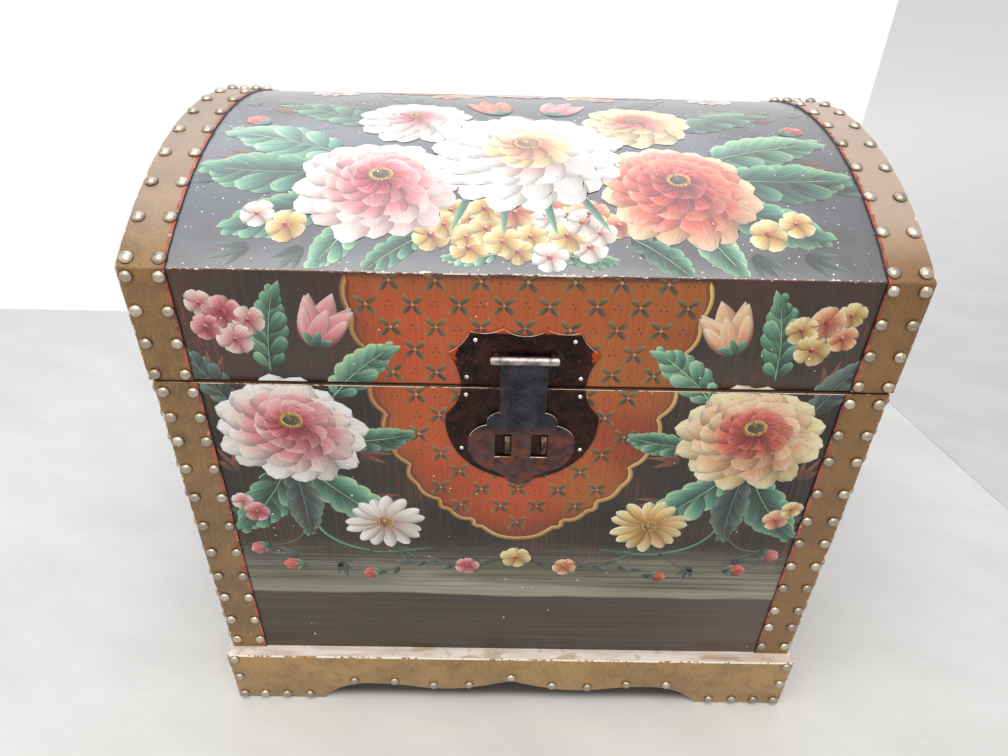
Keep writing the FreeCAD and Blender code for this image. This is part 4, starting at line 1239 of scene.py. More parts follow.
@dataclass(frozen=True)
class Palette:
    """Hex colours on the brush at a stroke's root, belly and tip, and on its lit edge."""

    root: str
    belly: str
    tip: str
    edge: str

    def at(self, along: Points, side: Points, lit: float, tone: float) -> Colour:
        """Mixes the colour at places on a stroke.

        Args:
            along: Places from 0 to 1.
            side: Places across from -1 to 1.
            lit: 1 where the left side is lit and -1 where the right one is.
            tone: Lightens above 0 and darkens below.

        Returns:
            An sRGB colour for each place.
        """
        along, side = along[:, None], side[:, None] * lit
        mixed = mix(shade(self.root), shade(self.belly), np.clip(along / 0.5, 0, 1))
        mixed = mix(mixed, shade(self.tip), np.clip((along - 0.5) / 0.36, 0, 1))
        rim = np.clip(side, 0, 1) ** 2 * np.clip(along * 1.5, 0, 1)
        mixed = mix(mixed, shade(self.edge), np.maximum(0.7 * rim, 0.8 * np.clip((along - 0.86) / 0.1, 0, 1)))
        mixed = mixed * (1 - 0.34 * np.clip(-side, 0, 1) ** 1.5)
        if tone < 0:
            return mixed * (1 + 0.55 * tone) + shade(self.root) * -0.35 * tone
        return mix(mixed, shade(self.edge), 0.6 * tone)


WHITE = Palette("#B98D7E", "#E6D9CC", "#FAF4EA", "#FFFFFF")
SHELL = Palette("#B9525A", "#E7A9A2", "#F8E2D8", "#FFF8F2")
PINK = Palette("#8E1F2B", "#D9656C", "#F0A9A4", "#FBDDD6")
ROSE = Palette("#6E1119", "#B8343C", "#DD6F70", "#F3B3AC")
CORAL = Palette("#7A1A10", "#CC4128", "#E8795A", "#F8B79C")
RED = Palette("#5A0E10", "#A82420", "#D4503F", "#EE9684")
CREAM = Palette("#A86A24", "#E0B664", "#F5E0A4", "#FFF8DA")
PEACH = Palette("#A3421F", "#E08B59", "#F4C795", "#FFE9CE")
LEAF = Palette("#0F2620", "#2C6350", "#5FA387", "#B4D8A0")
PALE_LEAF = Palette("#1B3F35", "#4A8C74", "#86C0A2", "#D8EBB2")
DUSK_LEAF = Palette("#181E1A", "#33463E", "#58736A", "#83998C")
EMBER = Palette("#2A130C", "#6B2A16", "#96451F", "#B86A3C")
OLIVE = Palette("#332610", "#5E4C20", "#83703A", "#A58D54")
OCHRE = Palette("#7A4A14", "#B9822E", "#E0B45A", "#F4DEA0")


@dataclass
class Stroke:
    """One stroke's mesh in its picture: places in millimetres, with lift as the third number."""

    points: Points
    faces: list[tuple]
    colours: Points
    marks: Points


def backed(faces: list[tuple], rim: list[int], count: int) -> list[tuple]:
    """Closes a top of count points with an upright rim and a back."""
    back = [count + i for i in range(len(rim))]
    pairs = list(zip(rim, back))
    upright = [(a, b, d, c) for (a, b), (c, d) in zip(pairs, pairs[1:] + pairs[:1])]
    return faces + upright + [tuple(reversed(back))]


@lru_cache(maxsize=None)
def stroke_net(rows: int, columns: int) -> tuple[Points, Points, list[tuple], list[int]]:
    """Draws the net of a closed stroke.

    Args:
        rows: Steps along it.
        columns: Steps across it.

    Returns:
        Places along, places across, faces and the points of the rim.
    """
    along, side = [0.0], [0.0]
    for even in (r / rows for r in range(1, rows)):
        along += [0.45 * even + 0.55 * (1 - math.cos(math.pi * even)) / 2] * (columns + 1)
        side += [-1 + 2 * c / columns for c in range(columns + 1)]
    along.append(1.0)
    side.append(0.0)
    last, step = len(along) - 1, columns + 1
    lines = [range(1 + r * step, 1 + (r + 1) * step) for r in range(rows - 1)]
    faces = [(0, a, b) for a, b in zip(lines[0], lines[0][1:])]
    for low, high in zip(lines, lines[1:]):
        faces += [(low[c], high[c], high[c + 1], low[c + 1]) for c in range(columns)]
    faces += [(a, last, b) for a, b in zip(lines[-1], lines[-1][1:])]
    rim = [0] + [line[0] for line in lines] + [last] + [line[-1] for line in reversed(lines)]
    return np.array(along), np.array(side), backed(faces, rim, last + 1), rim


class Picture:
    """A painted design in its own flat coordinates, in millimetres."""

    def __init__(self, seed: int) -> None:
        """Starts an empty picture with its own source of small differences."""
        self.vary = random.Random(seed).uniform
        self.strokes: list[Stroke] = []

    def lay(self, net: tuple, places: Points, lift: Points | float, colours: Colour, marks: tuple,
            streaks: float = 1.0) -> None:
        """Adds a stroke, given by the top of its net.

        Args:
            net: The net.
            places: Flat places.
            lift: Heights.
            colours: sRGB colours.
            marks: Distances along and across the stroke, and its lot.
            streaks: Strength of its bristle marks.
        """
        faces, rim = net[2:]
        count = len(places)
        top = np.column_stack([places, np.broadcast_to(lift, count)])
        foot = top[rim].copy()
        foot[:, 2] = BACK
        brush = np.column_stack([np.broadcast_to(m, count) for m in marks])
        paint = to_linear(np.vstack([colours, colours[rim]]), streaks)
        self.strokes.append(Stroke(np.vstack([top, foot]), faces, paint, np.vstack([brush, brush[rim]])))

    def stroke(self, brush: Brush, at: Sequence, turn: float, length: float, width: float, palette: Palette,
               lift: float, bend: float = 0.0, tilt: float = 0.0, tone: float = 0.0,
               squeeze: tuple | None = None) -> None:
        """Paints one loaded stroke.

        Args:
            brush: Its outline.
            at: Its root.
            turn: Its direction in degrees.
            length: Its length.
            width: Its full width.
            palette: Its colours.
            lift: Its height.
            bend: Share of its length by which it curves aside.
            tilt: Rise of its left edge.
            tone: Lightens above 0 and darkens below.
            squeeze: Middle and matrix that lean a flower away.
        """
        form = brush.value
        rows = 7 if length < 14 else 9 if length < 34 else 12
        net = stroke_net(rows, 3 if width < 5 else 4 if width < 14 else 6)
        along, side = net[:2]
        reach = along * (1 + form.ruffle * np.cos(side * math.pi * 3) * along**3)
        ahead = ray(turn)
        left = aside(ahead)
        across = side * form.width(along) * width / 2 + bend * length * along**2
        places = np.array(at) + np.outer(reach * length, ahead) + np.outer(across, left)
        if squeeze:
            middle, matrix = squeeze
            places = (places - middle) @ matrix.T + middle
        tone = float(np.clip(tone + 0.3 * (ahead @ LIGHT), -0.9, 0.9))
        colours = palette.at(along, side, 1.0 if left @ LIGHT > 0 else -1.0, tone)
        lift += SLIGHT * (len(self.strokes) % 5)
        marks = (along * length, side * width / 2, self.vary(0, 90))
        self.lay(net, places, lift + tilt * side, colours, marks)

    def trail(self, points: Sequence, start: float, end: float, palette: Palette, lift: float) -> None:
        """Paints a stem or line along a smooth curve.

        Args:
            points: Places on the curve.
            start: Width at the first.
            end: Width at the last.
            palette: Its colours.
            lift: Its height.
        """
        curve = smooth_curve(points, 3.2)
        rows, columns = len(curve) - 1, 2
        net = stroke_net(rows, columns)
        row = np.array([0] + [r for r in range(1, rows) for _ in range(columns + 1)] + [rows])
        way = np.gradient(curve, axis=0)
        left = aside(way / np.linalg.norm(way, axis=1, keepdims=True))
        share = row / rows
        half = (start + (end - start) * share) / 2 * (1 + 0.18 * np.sin(share * 9 + self.vary(0, 6)))
        places = curve[row] + left[row] * (net[1] * half)[:, None]
        marks = (share * running_length(curve)[-1], net[1] * half, self.vary(0, 90))
        self.lay(net, places, lift, palette.at(0.35 + 0.45 * share, net[1], 1.0, 0.0), marks)

    def dots(self, at: Sequence, size: float, palette: Palette, lift: float) -> None:
        """Sets small round touches of paint at each place."""
        for place in at:
            wide = size * self.vary(0.8, 1.15)
            self.stroke(Brush.DOT, (place[0] - wide / 2, place[1]), 0.0, wide, wide, palette, lift, tone=0.2)

    def turns(self, count: int, sway: float) -> Iterator[tuple[float, Points]]:
        """Yields the directions of petals round a flower, each swayed by a few degrees."""
        spin = self.vary(0, 360)
        for i in range(count):
            angle = spin + 360 * i / count + self.vary(-sway, sway)
            yield angle, ray(angle)

    def rosette(self, at: Sequence, radius: float, palettes: Sequence[Palette], heart: Palette, lift: float,
                petals: int = 15, flat: float = 0.86, lean: float = 90.0) -> None:
        """Paints a full flower that leans a little away, deeper in colour toward its heart.

        Args:
            at: Its middle.
            radius: Its radius.
            palettes: Colours of its rings, inward.
            heart: Colours of its heart.
            lift: Its height.
            petals: Petals in the outer ring.
            flat: Share of its width left along the lean.
            lean: Direction of the lean in degrees.
        """
        middle, axis = np.array(at, float), ray(lean)
        squeeze = (middle, np.eye(2) - (1 - flat) * np.outer(axis, axis))
        wide, deep = radius * 1.6, palettes[0]
        under = Palette(deep.root, deep.root, deep.root, deep.belly)
        self.stroke(Brush.DOT, middle - [wide / 2, 0], 0, wide, wide, under, lift, squeeze=squeeze)
        for ring, palette in enumerate(palettes):
            share = ring / len(palettes)
            reach = radius * (1 - 0.80 * share)
            start = radius * 0.30 * (1 - share) ** 1.6
            count = max(6, round(petals * (1 - 0.5 * share)))
            core = middle + axis * radius * 0.16 * share
            brush = Brush.RUFFLED if ring < 2 else Brush.PETAL
            for angle, out in self.turns(count, 5):
                grow = self.vary(0.90, 1.08) * (1 - 0.12 * float(out @ axis))
                wide = 2 * math.pi * reach * 0.80 / count * self.vary(1.45, 1.75)
                self.stroke(brush, core + out * start, angle, (reach - start) * grow, wide, palette,
                            lift + LAYER * (2 + 4 * ring), self.vary(-0.06, 0.06), LAYER * 1.6,
                            self.vary(-0.25, 0.2), squeeze)
        over = lift + LAYER * (3 + 4 * len(palettes))
        self.heart(middle + axis * radius * 0.14, radius * 0.15, heart, over)

    def heart(self, at: Sequence, radius: float, palette: Palette, lift: float) -> None:
        """Paints a flower's heart: a dark cushion ringed with dots of pollen."""
        x, y = at
        self.stroke(Brush.DOT, (x - radius, y), 0.0, radius * 2, radius * 1.7, palette, lift, tone=-0.5)
        count = max(6, round(radius * 2.6))
        angles = [math.tau * i / count for i in range(count)]
        ring = [(x + radius * 0.9 * math.cos(a), y + radius * 0.75 * math.sin(a)) for a in angles]
        self.dots(ring, radius * 0.42, OCHRE, lift + LAYER)
        self.dots([(x - radius * 0.2, y + radius * 0.2)], radius * 0.6, palette, lift + LAYER)

    def daisy(self, at: Sequence, radius: float, palette: Palette, heart: Palette, lift: float,
              petals: int = 13) -> None:
        """Paints a single flower of slim petals, each one stroke of the brush."""
        middle = np.array(at, float)
        for angle, out in self.turns(petals, 5):
            self.stroke(Brush.SLIM, middle + out * radius * 0.14, angle, radius * 0.88 * self.vary(0.9, 1.08),
                        radius * 5.4 / petals, palette, lift, self.vary(-0.06, 0.06), LAYER * 0.8,
                        self.vary(-0.3, 0.2), (middle, np.diag([1.0, 0.9])))
        self.heart(middle, radius * 0.2, heart, lift + LAYER * 2)

    def blossom(self, at: Sequence, radius: float, palette: Palette, lift: float, petals: int = 5) -> None:
        """Paints a small open blossom with a red eye."""
        middle = np.array(at, float)
        for angle, out in self.turns(petals, 6):
            self.stroke(Brush.PETAL, middle + out * radius * 0.08, angle, radius * self.vary(0.88, 1.05),
                        radius * 5.2 / petals, palette, lift, 0.0, LAYER * 0.8, self.vary(-0.3, 0.25))
        self.dots([middle], radius * 0.36, RED, lift + LAYER * 2)
        self.dots([middle + np.array([-0.05, 0.1]) * radius], radius * 0.16, CREAM, lift + LAYER * 3)

    def tulip(self, at: Sequence, height: float, turn: float, palette: Palette, lift: float) -> None:
        """Paints a tulip seen from the side: two outer petals, three inner ones and its cup of leaves."""
        parts = (
            (26, 0.96, 0.40, -0.10, -0.35), (-26, 0.96, 0.40, 0.10, -0.35), (0, 1.04, 0.46, 0.0, -0.1),
            (15, 0.92, 0.42, 0.16, 0.1), (-15, 0.92, 0.42, -0.16, 0.1), (40, 0.72, 0.20, -0.22, 0.25),
            (-40, 0.72, 0.20, 0.22, 0.25), (0, 0.74, 0.34, 0.0, 0.3),
        )
        for index, (swing, tall, wide, bend, tone) in enumerate(parts):
            brush = Brush.SLIM if abs(swing) == 40 else Brush.LEAF
            self.stroke(brush, at, turn + swing, height * tall, height * wide, palette,
                        lift + LAYER * index, bend, tone=tone)
        for swing in (-38, 38, 0):
            self.stroke(Brush.LEAF, at, turn + swing, height * 0.32, height * 0.15, LEAF,
                        lift + LAYER * 9, swing / 200)

    def bud(self, at: Sequence, size: float, turn: float, palette: Palette, lift: float) -> None:
        """Paints a closed bud in its cup."""
        for index, (swing, tall, wide) in enumerate(((-12, 0.9, 0.5), (12, 0.9, 0.5), (0, 1.0, 0.42))):
            self.stroke(Brush.PETAL, at, turn + swing, size * tall, size * wide, palette,
                        lift + LAYER * index, tone=-0.2 + 0.2 * index)
        for swing in (-30, 0, 30):
            self.stroke(Brush.LEAF, at, turn + swing, size * 0.55, size * 0.2, LEAF,
                        lift + LAYER * 4, swing / 150)

    def leaf(self, at: Sequence, length: float, width: float, turn: float, palette: Palette, lift: float,
             bend: float = 0.12, lobes: int = 7) -> None:
        """Paints a broad leaf: a dark ground, side strokes out from the rib and the rib itself.

        Args:
            at: Its stalk.
            length: Its length.
            width: Its width.
            turn: Its direction in degrees.
            palette: Its colours.
            lift: Its height.
            bend: Share of its length by which it curves aside.
            lobes: Strokes on each side.
        """
        base = Palette(palette.root, palette.root, palette.belly, palette.belly)
        self.stroke(Brush.LEAF, at, turn, length * 0.98, width * 0.8, base, lift, bend)
        ahead = ray(turn)

        def rib(share: float) -> Points:
            """Returns a place along the rib."""
            return np.array(at) + ahead * length * share + aside(ahead) * bend * length * share**2

        for index in range(lobes):
            share = 0.06 + 0.80 * index / (lobes - 1)
            size = width * (0.34 + 0.36 * math.sin(math.pi * min(1.0, share * 1.15 + 0.08)))
            for side in (-1, 1):
                swing = turn + math.degrees(math.atan(2 * bend * share)) + side * (50 - 26 * share)
                over, tone = (0.3, 0.15) if side > 0 else (0.0, -0.2)
                self.stroke(Brush.PETAL, rib(share), swing, size * self.vary(0.94, 1.06), size * 0.52,
                            palette, lift + LAYER * (1 + 0.5 * index + over), -side * 0.14,
                            tone=tone + self.vary(-0.1, 0.1))
        top, tip = lift + LAYER * (2 + 0.5 * lobes), turn + math.degrees(math.atan(2 * bend))
        self.stroke(Brush.LEAF, rib(0.72), tip, length * 0.34, width * 0.3, palette, top, bend * 0.5)
        pale = Palette(palette.edge, palette.tip, palette.edge, palette.edge)
        self.trail([rib(t) for t in (0.0, 0.3, 0.6, 0.86)], 0.9, 0.35, pale, top + LAYER)

    def spray(self, points: Sequence, palette: Palette, lift: float, leaves: int, size: float) -> None:
        """Paints a thin stem with pairs of single-stroke leaves along it."""
        self.trail(points, 1.5, 0.6, palette, lift)
        curve = smooth_curve(points, 1.0)
        for i in range(leaves):
            k = min(int((0.12 + 0.86 * i / (leaves - 1)) * (len(curve) - 1)), len(curve) - 2)
            way = curve[k + 1] - curve[k]
            side = 0 if i == leaves - 1 else 1 if i % 2 else -1
            turn = math.degrees(math.atan2(way[1], way[0])) + side * 38
            self.stroke(Brush.LEAF, curve[k], turn, size * self.vary(0.8, 1.1), size * 0.34, palette,
                        lift + LAYER * 1.5, -side * 0.12, tone=self.vary(-0.2, 0.3))


def smooth_curve(points: Sequence, step: float) -> Points:
    """Draws a smooth curve through places, as points evenly spaced by about a step."""
    given = np.array([np.array(p, float) for p in points])
    ends = np.vstack([2 * given[0] - given[1], given, 2 * given[-1] - given[-2]])
    dense = []
    for a, b, c, d in zip(ends, ends[1:], ends[2:], ends[3:]):
        for t in np.linspace(0, 1, 24, endpoint=False):
            curved = (2 * a - 5 * b + 4 * c - d) * t**2 + (3 * b - a - 3 * c + d) * t**3
            dense.append(0.5 * (2 * b + (c - a) * t + curved))
    dense = np.array([*dense, given[-1]])
    run = running_length(dense)
    even = np.linspace(0, run[-1], max(3, round(run[-1] / step)) + 1)
    return sample(even, run, dense)


@dataclass(frozen=True)
class Panel:
    """A painted face of the chest, which takes a picture's flat places to the wood."""

    name: str
    body: str  # body that it rides on
    # Turns x, y and lift in millimetres into a point of the frame
    place: Callable[[float, float, float], tuple[float, float, float]]
    low: float = -1e6  # lowest picture height on it
    high: float = 1e6  # highest picture height on it

    def cut(self, stroke: Stroke) -> Stroke | None:
        """Cuts a stroke where the boards part and closes the cut, or gives None where nothing is left."""
        height = stroke.points[:, 1]
        if height.max() <= self.low + 0.3 or height.min() >= self.high - 0.3:
            return None
        if height.min() >= self.low and height.max() <= self.high:
            return stroke
        work = bmesh.new()
        paint = work.verts.layers.float_color.new("paint")
        marks = work.verts.layers.float_vector.new("brush")
        made = [work.verts.new(point) for point in stroke.points]
        for vertex, colour, mark in zip(made, stroke.colours, stroke.marks):
            vertex[paint], vertex[marks] = colour, mark
        for face in stroke.faces:
            work.faces.new([made[i] for i in face])
        for level, way in ((self.low, -1), (self.high, 1)):
            plane = {"plane_co": (0, level, 0), "plane_no": (0, way, 0)}
            everything = work.verts[:] + work.edges[:] + work.faces[:]
            bmesh.ops.bisect_plane(work, geom=everything, clear_outer=True, **plane)
            open_edges = [e for e in work.edges if e.is_boundary]
            if open_edges:
                bmesh.ops.holes_fill(work, edges=open_edges)
        work.verts.index_update()
        left = [(v.co[:], v[paint][:], v[marks][:]) for v in work.verts]
        faces = [tuple(v.index for v in f.verts) for f in work.faces]
        work.free()
        if not faces:
            return None
        points, colours, brush = (np.array(column, float) for column in zip(*left))
        return Stroke(points, faces, colours, brush)

    def hang(self, *pictures: Picture) -> None:
        """Makes one piece of the parts of these pictures that lie on this panel."""
        kept = [part for picture in pictures for part in map(self.cut, picture.strokes) if part]
        points, faces = [], []
        for part in kept:
            faces += [tuple(len(points) + i for i in face) for face in part.faces]
            points += [self.place(*p) for p in part.points]
        mesh = bpy.data.meshes.new(self.name)
        mesh.from_pydata(points, [], faces)
        paint = mesh.color_attributes.new("paint", "FLOAT_COLOR", "POINT")
        paint.data.foreach_set("color", np.vstack([p.colours for p in kept]).astype(np.float32).ravel())
        mark(mesh, brush=np.vstack([p.marks for p in kept]))
        mesh.validate()
        piece = new_piece(self.name, mesh)
        paint = OIL_PAINT_DOME if "dome" in self.name else OIL_PAINT
        finish_piece(piece, self.body, "painted_wood", (paint,), degrees=60.0)


def on_wall(sign: int, face: float) -> Callable:
    """Returns the map of a picture, as seen, onto the front (sign -1) or back (sign 1) boards' face."""
    return lambda x, z, lift: (-sign * x * MM, face + sign * lift * MM, z * MM)


def on_end(sign: int, face: float) -> Callable:
    """Returns the map of a picture, as seen, onto the left (sign -1) or right (sign 1) end's face."""
    return lambda x, z, lift: (sign * (face + lift * MM), sign * x * MM, z * MM)


def on_dome(x: float, arc: float, lift: float) -> tuple[float, float, float]:
    """Maps the dome's picture, x by arc from the front ridge, onto its skin."""
    return dome_point(x * MM, arc * MM, lift * MM)


@dataclass(frozen=True)
class Cartouche:
    """The terracotta field behind the lock: a cusped shield, sown with sprigs."""

    # Height and half width of each cusp, from the ridge down
    edge: tuple = ((377.4, 99), (352, 98), (330, 93), (306, 92), (284, 84), (262, 82), (243, 71), (226, 67),
                   (212, 52), (203, 46), (194, 30), (187, 24), (176, 0))
    bow: float = 3.2  # how far the rim bows between cusps
    middle: float = 300.0  # height of the heart
    spacing: tuple[float, float] = (25.0, 15.0)  # distance between sprigs along and between rows
    low: float = 194.0  # height of the lowest row
    high: float = 376.0  # height that no row reaches
    wide: float = 100.0  # half width of the rows
    rooms: tuple[float, float] = (10.0, 8.0)  # least distance from the rim to a sprig and to its dots
    # Share of the way to the rim and colour of each ring
    shades: tuple = ((1.0, "#361C10"), (0.985, "#6A3216"), (0.95, "#8E3E14"), (0.86, "#AA4414"),
                     (0.68, "#BE4A16"), (0.42, "#C85A24"), (0.18, "#BE4A16"))

    def outline(self) -> Points:
        """Returns the shield's outline, counterclockwise, with bowed sides between its cusps."""
        right = []
        for (z0, x0), (z1, x1) in zip(self.edge, self.edge[1:]):
            size = math.hypot(z0 - z1, x1 - x0)
            for i in range(5):
                bow = self.bow * math.sin(math.pi * i / 5)
                x = x0 + (x1 - x0) * i / 5 + bow * (z0 - z1) / size
                right.append((x, z0 + (z1 - z0) * i / 5 - bow * (x0 - x1) / size))
        left = [(-x, z) for x, z in reversed(right)]
        return np.array((right + [(0.0, self.edge[-1][0])] + left)[::-1])

    def tint(self, ring: Points, share: float, colour: str) -> Colour:
        """Returns the clouded colour of each point of a ring.

        Args:
            ring: Its points.
            share: Its share of the way to the rim.
            colour: Its own hex colour.

        Returns:
            An sRGB colour for each point.
        """
        x, z = ring[:, :1], ring[:, 1:]
        inside = share < 0.97
        cloud = np.array([noise.noise(Vector((u * 0.02, v * 0.02, 3.0))) for u, v in ring])[:, None]
        brown = np.clip(cloud * 1.2 + 0.25 * (x > 20) + x / 400, 0, 0.9)
        warm = mix(shade(colour), shade("#B4641C"), brown * inside)
        warm = mix(warm, shade("#C8742E"), np.clip((z - 335) / 40, 0, 1) * 0.35 * inside)
        return warm * (1 + 0.3 * np.clip(cloud, -1, 0)) * (1 - 0.1 * np.clip(x / 90, 0, 1))

    def paint(self, picture: Picture) -> None:
        """Paints the field in rings from its rim to its heart, its rim lines and its sprigs."""
        rim = self.outline()
        middle = np.array([[0.0, self.middle]])
        rings = [middle + (rim - middle) * share for share, _ in self.shades]
        places = np.vstack([*rings, middle])
        tints = [self.tint(ring, *own) for ring, own in zip(rings, self.shades)]
        rows = [range(r * len(rim), (r + 1) * len(rim)) for r in range(len(rings))]
        rows.append([len(places) - 1] * len(rim))
        faces = []
        for low, high in zip(rows, rows[1:]):
            loops = zip(low, [*low[1:], low[0]], [*high[1:], high[0]], high)
            faces += [tuple(dict.fromkeys(loop)) for loop in loops]
        outer = list(rows[0])
        net = (None, None, backed(faces, outer, len(places)), outer)
        marks = (places[:, 1] * 0.5, places[:, 0] * 0.45, 5.0)
        picture.lay(net, places, 0.03, np.vstack([*tints, shade("#BE4A16")]), marks, 0.3)
        picture.trail(self.side(rim, 2.2), 2.8, 2.8, OCHRE, 0.06)
        picture.trail(self.side(rim, 5.6), 0.9, 0.9, EMBER, 0.055)
        self.sprigs(picture, rim)

    def side(self, rim: Points, inset: float) -> Points:
        """Returns the rim without its top edge, moved in by a distance."""
        line = np.roll(rim, -int(np.argmin(rim[:, 0] - rim[:, 1])), axis=0)
        inward = np.array([0.0, self.middle]) - line
        return line + inward / np.linalg.norm(inward, axis=1, keepdims=True) * inset

    def sprigs(self, picture: Picture, rim: Points) -> None:
        """Sows four-petalled sprigs in a diagonal order, with three small dots between them."""
        step, rise = self.spacing
        vary = picture.vary
        for row, z in enumerate(np.arange(self.low, self.high, rise)):
            for x in np.arange((row % 2) * step / 2 - self.wide, self.wide + 1, step):
                if self.room(rim, x, z) > self.rooms[0]:
                    place = (x + vary(-0.7, 0.7), z + vary(-0.7, 0.7))
                    for swing in (45, 135, 225, 315):
                        picture.stroke(Brush.SLIM, place, swing + vary(-7, 7), 8.2, 3.2, OLIVE, 0.06,
                                       tone=vary(-0.5, 0.2))
                    picture.dots([place], 2.1, OCHRE, 0.06 + LAYER * 2)
                x = x + step / 2
                if self.room(rim, x, z) > self.rooms[1]:
                    picture.dots([(x - 1.7, z - 1.1), (x + 1.7, z - 1.1), (x, z + 1.8)], 1.5, EMBER, 0.06)

    def room(self, rim: Points, x: float, z: float) -> float:
        """Returns the distance from a place to the rim, negative outside it."""
        away = np.linalg.norm(rim - np.array([x, z]), axis=1).min()
        crossed = 0
        for (x0, z0), (x1, z1) in zip(rim, np.roll(rim, -1, axis=0)):
            crossed += (z0 > z) != (z1 > z) and x < (x1 - x0) * (z - z0) / (z1 - z0) + x0
        return away if crossed % 2 else -away


@dataclass(frozen=True)
class Half:
    """One mirrored half of a picture, in which x counts outward from the middle."""

    picture: Picture
    side: int  # -1 on the left and 1 on the right

    def at(self, x: float, y: float) -> tuple[float, float]:
        """Returns a place on this half."""
        return self.side * x, y

    def way(self, turn: float) -> float:
        """Returns a direction on this half."""
        return turn if self.side > 0 else 180 - turn

    def leaves(self, rows: Sequence[tuple], lift: float, lobes: int = 7) -> None:
        """Paints broad leaves, each given as x, y, length, width, turn, bend and colours."""
        for index, (x, y, length, width, turn, bend, colours) in enumerate(rows):
            self.picture.leaf(self.at(x, y), length, width, self.way(turn), colours,
                              lift + LAYER * index * 0.7, bend * self.side, lobes)

    def touches(self, rows: Sequence[tuple], palette: Palette, size: float, lift: float = 0.03) -> None:
        """Paints tufts of three comma strokes, each tuft given as x, y and turn."""
        for x, y, turn in rows:
            for swing, long in ((-26, 1.0), (0, 1.25), (26, 1.0)):
                self.picture.stroke(Brush.COMMA, self.at(x, y), self.way(turn + swing), size * long,
                                    size * 0.27, palette, lift, 0.14 * self.side,
                                    tone=self.picture.vary(-0.3, 0.3))

    def blossoms(self, rows: Sequence[tuple], lift: float) -> None:
        """Paints small blossoms, each given as x, y, radius and colours."""
        for x, y, radius, palette in rows:
            self.picture.blossom(self.at(x, y), radius, palette, lift)


def halves(picture: Picture) -> tuple[Half, Half]:
    """Returns the left and the right half of a picture."""
    return Half(picture, -1), Half(picture, 1)


